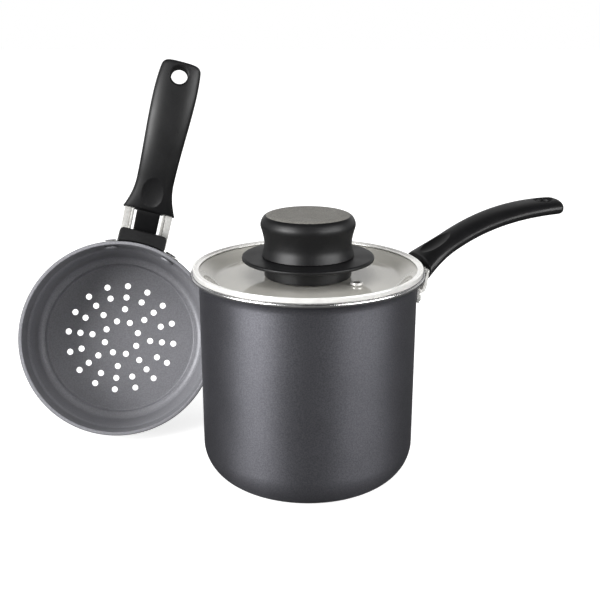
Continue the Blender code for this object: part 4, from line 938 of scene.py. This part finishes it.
# %% Mould a block with a round back
GUARD_HALF, GUARD_DEPTH, GUARD_HEIGHT, GUARD_DROP = 9.6 * MM, 4.9 * MM, 12.4 * MM, 4.3 * MM
CAP_HALF, CAP_REACH, CAP_HEIGHT = 17.3 * MM, 8.7 * MM, 8.6 * MM
TONGUE_HALF, TONGUE_THICKNESS = 8.6 * MM, 4.0 * MM


def make_block(name, back_r, front, half, low, high, corner, edge):
    """A block between a round back of radius back_r and a flat front, with every edge rounded."""
    turn = np.linspace(-1, 1, 25) * math.asin(half / back_r)
    back = np.stack([back_r * np.cos(turn), back_r * np.sin(turn)], axis=1)
    front_line = soften([back[-1], (front, half), (front, -half), back[0]], corner, 9)
    outline = np.vstack([back, front_line[1:-1]])
    step = np.roll(outline, -1, axis=0) - np.roll(outline, 1, axis=0)
    normal = np.stack([step[:, 1], -step[:, 0]], axis=1) / np.linalg.norm(step, axis=1)[:, None]
    if np.mean(np.sum(normal * (outline - outline.mean(axis=0)), axis=1)) < 0:
        normal = -normal
    swing = np.linspace(0, math.pi / 2, 7)
    opening, closing = edge * (1 - np.cos(swing)), edge * (1 - np.sin(swing))
    level = np.concatenate([low + opening, high - closing])
    draw = np.concatenate([closing, opening])
    ring = outline - normal * draw[:, None, None]
    return skin(name, grid_of(ring[..., 0], ring[..., 1], level[:, None]), caps=True)


# %% The pot's guard
pot_strap_out = POT_WALL_R + 2 * GAP + STRAP_THICKNESS
pot_guard = make_block("pot_guard", pot_strap_out, pot_strap_out + GUARD_DEPTH, GUARD_HALF,
                       -GUARD_DROP - GUARD_HEIGHT, -GUARD_DROP, 1.6 * MM, 0.8 * MM)
fit(moved(pot_guard, pot_rim), "pot", "phenolic", [satin_phenolic], "pot_heat_guard")

# %% The basket's guard, with its tongue
strap_top = STRAP_HEIGHT / 2 - RIVET_DROP
cap_low = strap_top + GAP
rim_clear = BASKET_RIM_R + GAP
cap_out = rim_clear + CAP_REACH
basket_guard = make_block("basket_guard", rim_clear, cap_out, CAP_HALF, cap_low, cap_low + CAP_HEIGHT,
                          3.6 * MM, 1.0 * MM)
web = make_block("web_tool", BASKET_WALL_R + 2 * GAP + STRAP_THICKNESS, cap_out - 0.6 * MM, GUARD_HALF,
                 strap_top - STRAP_HEIGHT + 1.0 * MM, cap_low + 2 * MM, 1.6 * MM, 0.6 * MM)
combine(basket_guard, web, "UNION")


def make_tongue(name):
    """A flat bar along the arms' curve from inside the cap to the grip's face."""
    out, rise, slope, _, _ = arm_path(BASKET_WALL_R, BASKET_REACH, BASKET_ARM)
    keep = (out > cap_out - 5 * MM) & (out < BASKET_REACH - GAP)
    out, rise, slope = (np.append(column[keep], np.interp(BASKET_REACH - GAP, out, column))[:, None]
                        for column in (out, rise, slope))
    slope[-1] = 0.0  # the last section is parallel to the grip's face
    y, high = oval(TONGUE_HALF, TONGUE_THICKNESS / 2, power=7.0, angle=once_round(56))
    grid = grid_of(out - high * np.sin(slope), y, rise + high * np.cos(slope))
    return skin(name, grid, caps=True)


combine(basket_guard, make_tongue("tongue_tool"), "UNION")
fit(moved(basket_guard, basket_rim), "basket", "phenolic", [satin_phenolic], "basket_heat_guard")

# %% [markdown]
# ## The lid
#
# A tempered glass disc, flat in the middle and curved up at its edge, sits in a steel band whose upper
# edge is rolled inwards over it. The knob stands on a wide disc that keeps fingers off the glass. All
# of it is turned, so the same small function serves for each piece.

# %% Sizes of the lid
BAND_R, BAND_WALL, BAND_HEIGHT = 75.0 * MM, 1.8 * MM, 3.5 * MM
BAND_LIP_WIDTH, BAND_LIP_DROP, BAND_LIP = 2.1 * MM, 0.9 * MM, 0.8 * MM
GLASS, GLASS_DROP, GLASS_FLAT_R, GLASS_EDGE = 3.0 * MM, 7.6 * MM, 59.0 * MM, 1.4 * MM
KNOB_SCREW_R = 2.2 * MM
VENT_AT_R, VENT_TURN = 37.0 * MM, math.radians(-34.0)
VENT_R, VENT_BORE_R, VENT_TUBE_R = 4.0 * MM, 2.2 * MM, 2.9 * MM
VENT_PROUD, VENT_FLANGE = 2.0 * MM, 1.0 * MM

# %% Band
band_top = POT_HEIGHT + BAND_HEIGHT
glass_top = band_top - GLASS_DROP
band_in = BAND_R - BAND_WALL
lip_top = band_top - BAND_LIP_DROP
lip_low = lip_top - BAND_LIP
band_profile = soften([
    (BAND_R, band_top), (BAND_R, POT_HEIGHT), (band_in, POT_HEIGHT), (band_in, lip_low),
    (band_in - BAND_LIP_WIDTH - 0.2 * MM, lip_low), (band_in - BAND_LIP_WIDTH - 0.2 * MM, lip_top),
    (band_in, lip_top), (band_in + 0.4 * MM, band_top)],
    np.array([0.6, 0.5, 0.3, 0.2, 0.35, 0.35, 0.4, 0.5]) * MM, 6, ring=True)
fit(turned("lid_band", band_profile, 256, ring=True), "lid", "polished_band", [polished_steel],
    "lid_rim_band")

# %% Glass
edge_r = band_in - GAP
edge_top = lip_low - GAP
glass_low = glass_top - GLASS
edge_low = edge_top - GLASS_EDGE
share = np.linspace(0, 1, 25)
border = GLASS_FLAT_R + (edge_r - GLASS_EDGE / 2 - GLASS_FLAT_R) * share
upper = np.stack([border, glass_top + (edge_top - glass_top) * smooth_step(share)], axis=1)
lower = np.stack([border, glass_low + (edge_low - glass_low) * smooth_step(share)], axis=1)[::-1]
rim_round = soften([upper[-1], (edge_r, edge_top), (edge_r, edge_low), lower[0]], 0.6 * MM, 6)[1:-1]
bore_r = KNOB_SCREW_R + 1.0 * MM
glass_profile = np.vstack([
    blend_line((bore_r, glass_top), (GLASS_FLAT_R, glass_top), 14), upper, rim_round, lower,
    blend_line((GLASS_FLAT_R, glass_low), (bore_r, glass_low), 14),
    [(bore_r, glass_low), (bore_r, glass_top)]])
pane = turned("lid_pane", glass_profile, 192, ring=True)
vent_place = Matrix.Translation((VENT_AT_R * math.cos(VENT_TURN), VENT_AT_R * math.sin(VENT_TURN), 0))
drill = turned("drill", [(0, glass_top + 3 * MM), (VENT_TUBE_R + GAP, glass_top + 3 * MM),
                         (VENT_TUBE_R + GAP, glass_low - 3 * MM), (0, glass_low - 3 * MM)], 48)
combine(pane, moved(drill, vent_place), "DIFFERENCE")
fit(pane, "lid", "lid_glass", [lid_glass_painted_reflection], "lid_glass")

# %% [markdown]
# ### The vent
#
# A small rolled eyelet lets the steam out. Its upper collar is a smooth ring with a dark hole, whose
# shade is painted into the bore, and its lower flange holds it under the glass.

# %% Roll the eyelet
under = glass_low - GAP
vent_profile = soften([
    (VENT_BORE_R, glass_top + VENT_PROUD), (VENT_R, glass_top + VENT_PROUD), (VENT_R, glass_top + GAP),
    (VENT_TUBE_R, glass_top + GAP), (VENT_TUBE_R, under), (VENT_R, under),
    (VENT_R - 0.4 * MM, under - VENT_FLANGE), (VENT_BORE_R, under - VENT_FLANGE)],
    np.array([0.35, 0.45, 0.5, 0.1, 0.1, 0.2, 0.3, 0.3]) * MM, 8, ring=True)
# The bore's rows get the dark steel of painted shade.
painted_shade_bore_rows = vent_profile[:, 0] < VENT_BORE_R + 0.05 * MM
eyelet = moved(turned("vent_ring", vent_profile, 64, ring=True, finish_of_row=painted_shade_bore_rows), vent_place)
fit(eyelet, "lid", "polished_band", [polished_steel, bore_painted_shade_steel], "vent_eyelet")

# %% [markdown]
# ### The knob
#
# Under the glass sit a screw, a steel washer and a soft one; above it a seal, the disc with its foot,
# and the knob with a brass insert. The knob has a wide cap with a rounded shoulder, a waist for the
# fingers and a skirt that flares onto the disc. Its top is slightly dished and left plain, and its flat
# carries a painted sheen: a mid grey colour over the grain.

# %% Sizes of the knob
KNOB_TOP = glass_top + 42.0 * MM
KNOB_HEIGHT, KNOB_CAP_DROP, KNOB_WAIST_RISE = 27.3 * MM, 6.6 * MM, 7.5 * MM
KNOB_CAP_R, KNOB_WAIST_R, KNOB_SKIRT_R = 31.1 * MM, 28.2 * MM, 30.0 * MM
DISC_R, DISC_THICKNESS, FOOT_R = 43.0 * MM, 2.6 * MM, 28.4 * MM
INSERT_R, INSERT_LENGTH = 4.2 * MM, 10.0 * MM
SEAL_R, SEAL_THICKNESS = 24.0 * MM, 0.8 * MM
WASHER_R, WASHER_THICKNESS = 9.0 * MM, 1.0 * MM
HEAD_R, HEAD_HEIGHT, KNOB_SCREW_REACH = 5.5 * MM, 2.3 * MM, 10.0 * MM

# %% Levels from the glass up and down
seal_low = glass_top + GAP
seal_top = seal_low + SEAL_THICKNESS
foot_low = seal_top + GAP
knob_low = KNOB_TOP - KNOB_HEIGHT
disc_top = knob_low - GAP
disc_low = disc_top - DISC_THICKNESS
screw_hole = KNOB_SCREW_R + GAP
insert_low = knob_low + 0.6 * MM
insert_top = insert_low + INSERT_LENGTH
cushion_top = glass_low - GAP
cushion_low = cushion_top - WASHER_THICKNESS
washer_top = cushion_low - GAP
washer_low = washer_top - WASHER_THICKNESS
head_top = washer_low - GAP
head_low = head_top - HEAD_HEIGHT
bolt_top = knob_low + KNOB_SCREW_REACH
print("knob stands", round((knob_low - glass_top) / MM, 1), "mm over the glass")

# %% Knob
waist_z = knob_low + KNOB_WAIST_RISE
cap_z = KNOB_TOP - KNOB_CAP_DROP
cap_points = np.array([
    (0, KNOB_TOP - 0.6 * MM), (0.45 * KNOB_CAP_R, KNOB_TOP - 0.25 * MM), (0.78 * KNOB_CAP_R, KNOB_TOP),
    (0.93 * KNOB_CAP_R, KNOB_TOP - 1.6 * MM), (KNOB_CAP_R, cap_z),
    (0.95 * KNOB_CAP_R, cap_z - 5.0 * MM), (KNOB_WAIST_R + 0.3 * MM, waist_z + 3.4 * MM),
    (KNOB_WAIST_R, waist_z - 1.0 * MM), (KNOB_SKIRT_R - 0.6 * MM, knob_low + 2.4 * MM),
    (KNOB_SKIRT_R, knob_low), (INSERT_R + GAP, knob_low), (INSERT_R + GAP, insert_top + GAP),
    (0, insert_top + GAP)])
cap_reach = np.array([0, 4, 3.5, 2.4, 2.2, 2.4, 2.6, 2.4, 1.6, 0.4, 0.2, 0.2, 0]) * MM
cap_profile = soften(cap_points, cap_reach, 9)
# The flat top's rows get the grey of the painted sheen over the grain.
painted_sheen_top_rows = cap_profile[1:, 1] > KNOB_TOP - 1.3 * MM
knob_cap = turned("knob_cap", cap_profile, 160, finish_of_row=painted_sheen_top_rows)
fit(knob_cap, "lid", "phenolic", [satin_phenolic, phenolic_grain_and_painted_sheen], "lid_knob")

# %% Disc and foot
disc_profile = soften([
    (screw_hole, disc_top), (DISC_R - 0.9 * MM, disc_top), (DISC_R, disc_top - 0.6 * MM),
    (DISC_R, disc_low + 0.5 * MM), (DISC_R - 1.0 * MM, disc_low), (FOOT_R + 0.6 * MM, disc_low),
    (FOOT_R, disc_low - 1.0 * MM), (FOOT_R, foot_low), (screw_hole, foot_low)],
    np.array([0.1, 0.5, 0.4, 0.4, 0.5, 0.8, 0.6, 0.6, 0.1]) * MM, 7, ring=True)
fit(turned("knob_disc", disc_profile, 192, ring=True), "lid", "phenolic", [satin_phenolic],
    "knob_guard_disc")

# %% Seal, insert and washers
SOFT, BRASS = ("silicone", black_silicone), ("brass", turned_brass)
STEEL = ("stainless_steel", tumbled_steel)
for name, outer, low, high, edge, (slot, finish), node in (
        ("knob_seal", SEAL_R, seal_low, seal_top, 0.3 * MM, SOFT, "glass_seal"),
        ("knob_nut", INSERT_R, insert_low, insert_top, 0.3 * MM, BRASS, "knob_insert"),
        ("cushion_washer", WASHER_R, cushion_low, cushion_top, 0.3 * MM, SOFT, "knob_cushion_washer"),
        ("steel_washer", WASHER_R - 1.0 * MM, washer_low, washer_top, 0.25 * MM, STEEL,
         "knob_steel_washer")):
    section = [(screw_hole, high), (outer, high), (outer, low), (screw_hole, low)]
    fit(turned(name, soften(section, edge, 5, ring=True), 96, ring=True), "lid", slot, [finish], node)

# %% Screw
bolt = turned("knob_bolt", soften([
    (0, bolt_top), (KNOB_SCREW_R, bolt_top), (KNOB_SCREW_R, head_top), (HEAD_R, head_top),
    (HEAD_R, head_low + 0.9 * MM), (HEAD_R - 1.4 * MM, head_low), (0, head_low)],
    np.array([0, 0.5, 0.2, 0.3, 0.7, 0.7, 0]) * MM, 6), 64)
bolt_slot = box_tool("slot_tool", (1.2 * MM, 3 * HEAD_R, 2.0 * MM))
combine(bolt, moved(bolt_slot, Matrix.Translation((0, 0, head_low))), "DIFFERENCE")
fit(bolt, "lid", "stainless_steel", [tumbled_steel], "knob_screw")

# %% [markdown]
# ## Stage and light
#
# The photograph is a product shot on pure white. For rays that come from the camera or go through
# glass, the sky is white and the wide floor glows white, a little less close to the pot, where it keeps
# the soft shadow. For mirrored rays the sky is bright only low at the back, so the white background
# doesn't flood the dark coating with light. The floor is dark for them too, most of all close to the
# pot, which lets the wall fade towards its base. Two large soft lamps draw the tall highlights on the
# wall, a strong one at the left and a weaker one at the right. The overhead one only fills, and isn't
# mirrored, so the lid stays free of glare.

# %% Floor
FLOOR_HALF = 6.0
floor_mesh = bpy.data.meshes.new("floor")
floor_mesh.from_pydata([(-FLOOR_HALF, -FLOOR_HALF, 0), (FLOOR_HALF, -FLOOR_HALF, 0),
                        (FLOOR_HALF, FLOOR_HALF, 0), (-FLOOR_HALF, FLOOR_HALF, 0)], [], [(0, 1, 2, 3)])
floor = bpy.data.objects.new("floor", floor_mesh)
bpy.context.scene.collection.objects.link(floor)
print("floor", 2 * FLOOR_HALF, "m wide")

# %% White paper, dark in mirrored rays
MIRROR_NEAR, MIRROR_FAR = 0.1, 0.5  # metres from the pot's axis over which the mirrored floor gets paler
GLOW_NEAR, GLOW_FAR, SHADOW_GLOW = 0.3, 1.0, 0.8  # metres over which the glow grows to 1, and its start
paper, tree, shader, place = start_finish("white_paper", {"Roughness": 0.9, "Emission Color": (1, 1, 1, 1)})
rays = add_node(tree, "ShaderNodeLightPath").outputs
distance = add_node(tree, "ShaderNodeVectorMath", {"operation": "LENGTH"}, {0: place}).outputs["Value"]
near = add_node(tree, "ShaderNodeMapRange", {"From Min": MIRROR_NEAR, "From Max": MIRROR_FAR},
                {"Value": distance}).outputs[0]
mirrored = add_node(tree, "ShaderNodeMix", {"data_type": "RGBA", 6: linear("2c2c2c"), 7: linear("484848")},
                    {0: near})
tone = add_node(tree, "ShaderNodeMix", {"data_type": "RGBA", 6: linear("b4b4b4")},
                {0: rays["Is Glossy Ray"], 7: mirrored.outputs[2]})
white = add_node(tree, "ShaderNodeMapRange",
                 {"From Min": GLOW_NEAR, "From Max": GLOW_FAR, "To Min": SHADOW_GLOW, "To Max": 1.0},
                 {"Value": distance}).outputs[0]
seen = add_node(tree, "ShaderNodeMath", {"operation": "MAXIMUM"},
                {0: rays["Is Camera Ray"], 1: rays["Is Transmission Ray"]}).outputs[0]
glow = add_node(tree, "ShaderNodeMath", {"operation": "MULTIPLY"}, {0: seen, 1: white})
tree.links.new(tone.outputs[2], shader.inputs["Base Color"])
tree.links.new(glow.outputs[0], shader.inputs["Emission Strength"])
floor_mesh.materials.append(paper)
print("paper:", paper.name)

# %% Sky
AMBIENT = 0.42
FRONT_GLOSS, BACK_GLOSS, HIGH_GLOSS = 0.08, 0.9, 0.03
BACK_START, BACK_FULL = 0.1, 0.8  # how far a direction points to the back
HIGH_START, HIGH_FULL = 0.3, 0.5  # how far a direction points up
world = bpy.data.worlds.new("studio")
bpy.context.scene.world = world
world.use_nodes = True
sky = world.node_tree
sky.nodes.clear()
rays = add_node(sky, "ShaderNodeLightPath").outputs
direction = add_node(sky, "ShaderNodeSeparateXYZ", None,
                     {0: add_node(sky, "ShaderNodeTexCoord").outputs["Generated"]}).outputs
low_sky = add_node(sky, "ShaderNodeMapRange",
                   {"From Min": BACK_START, "From Max": BACK_FULL,
                    "To Min": FRONT_GLOSS, "To Max": BACK_GLOSS}, {"Value": direction[1]}).outputs[0]
height = add_node(sky, "ShaderNodeMapRange", {"From Min": HIGH_START, "From Max": HIGH_FULL},
                  {"Value": direction[2]}).outputs[0]
gloss = add_node(sky, "ShaderNodeMix", {"data_type": "FLOAT", 3: HIGH_GLOSS},
                 {0: height, 2: low_sky}).outputs[0]
unseen = add_node(sky, "ShaderNodeMix", {"data_type": "FLOAT", 2: AMBIENT},
                  {0: rays["Is Glossy Ray"], 3: gloss}).outputs[0]
shown = add_node(sky, "ShaderNodeMath", {"operation": "MAXIMUM"},
                 {0: rays["Is Camera Ray"], 1: rays["Is Transmission Ray"]}).outputs[0]
strength = add_node(sky, "ShaderNodeMix", {"data_type": "FLOAT", 3: 1.0}, {0: shown, 2: unseen}).outputs[0]
background = add_node(sky, "ShaderNodeBackground", {"Color": (1, 1, 1, 1)}, {"Strength": strength})
add_node(sky, "ShaderNodeOutputWorld", None, {"Surface": background.outputs[0]})
print("sky strength", AMBIENT)

# %% Lamps
LAMPS = (  # name, place, aim, width and height in metres, watts
    ("left_softbox", (-1.03, -0.75, 0.5), (0, 0, 0.12), (0.85, 0.6), 32),
    ("right_softbox", (1.05, -0.66, 0.5), (0, 0, 0.12), (1.2, 0.6), 20),
    ("overhead_softbox", (-0.1, -0.5, 1.25), (0, 0, 0.05), (1.0, 0.8), 12),
)
for name, place, aim, size, watts in LAMPS:
    lamp_data = bpy.data.lights.new(name, "AREA")
    lamp_data.shape = "RECTANGLE"
    lamp_data.size, lamp_data.size_y = size
    lamp_data.energy = watts
    lamp = bpy.data.objects.new(name, lamp_data)
    back = np.array(place) - np.array(aim)
    flat = math.hypot(back[0], back[1])
    lamp.location = place
    lamp.rotation_euler = (math.atan2(flat, back[2]), 0, math.atan2(back[1], back[0]) + math.pi / 2)
    lamp.visible_glossy = name != "overhead_softbox"
    bpy.context.scene.collection.objects.link(lamp)
bpy.context.scene.view_settings.view_transform = "Standard"
print(len(LAMPS), "lamps")
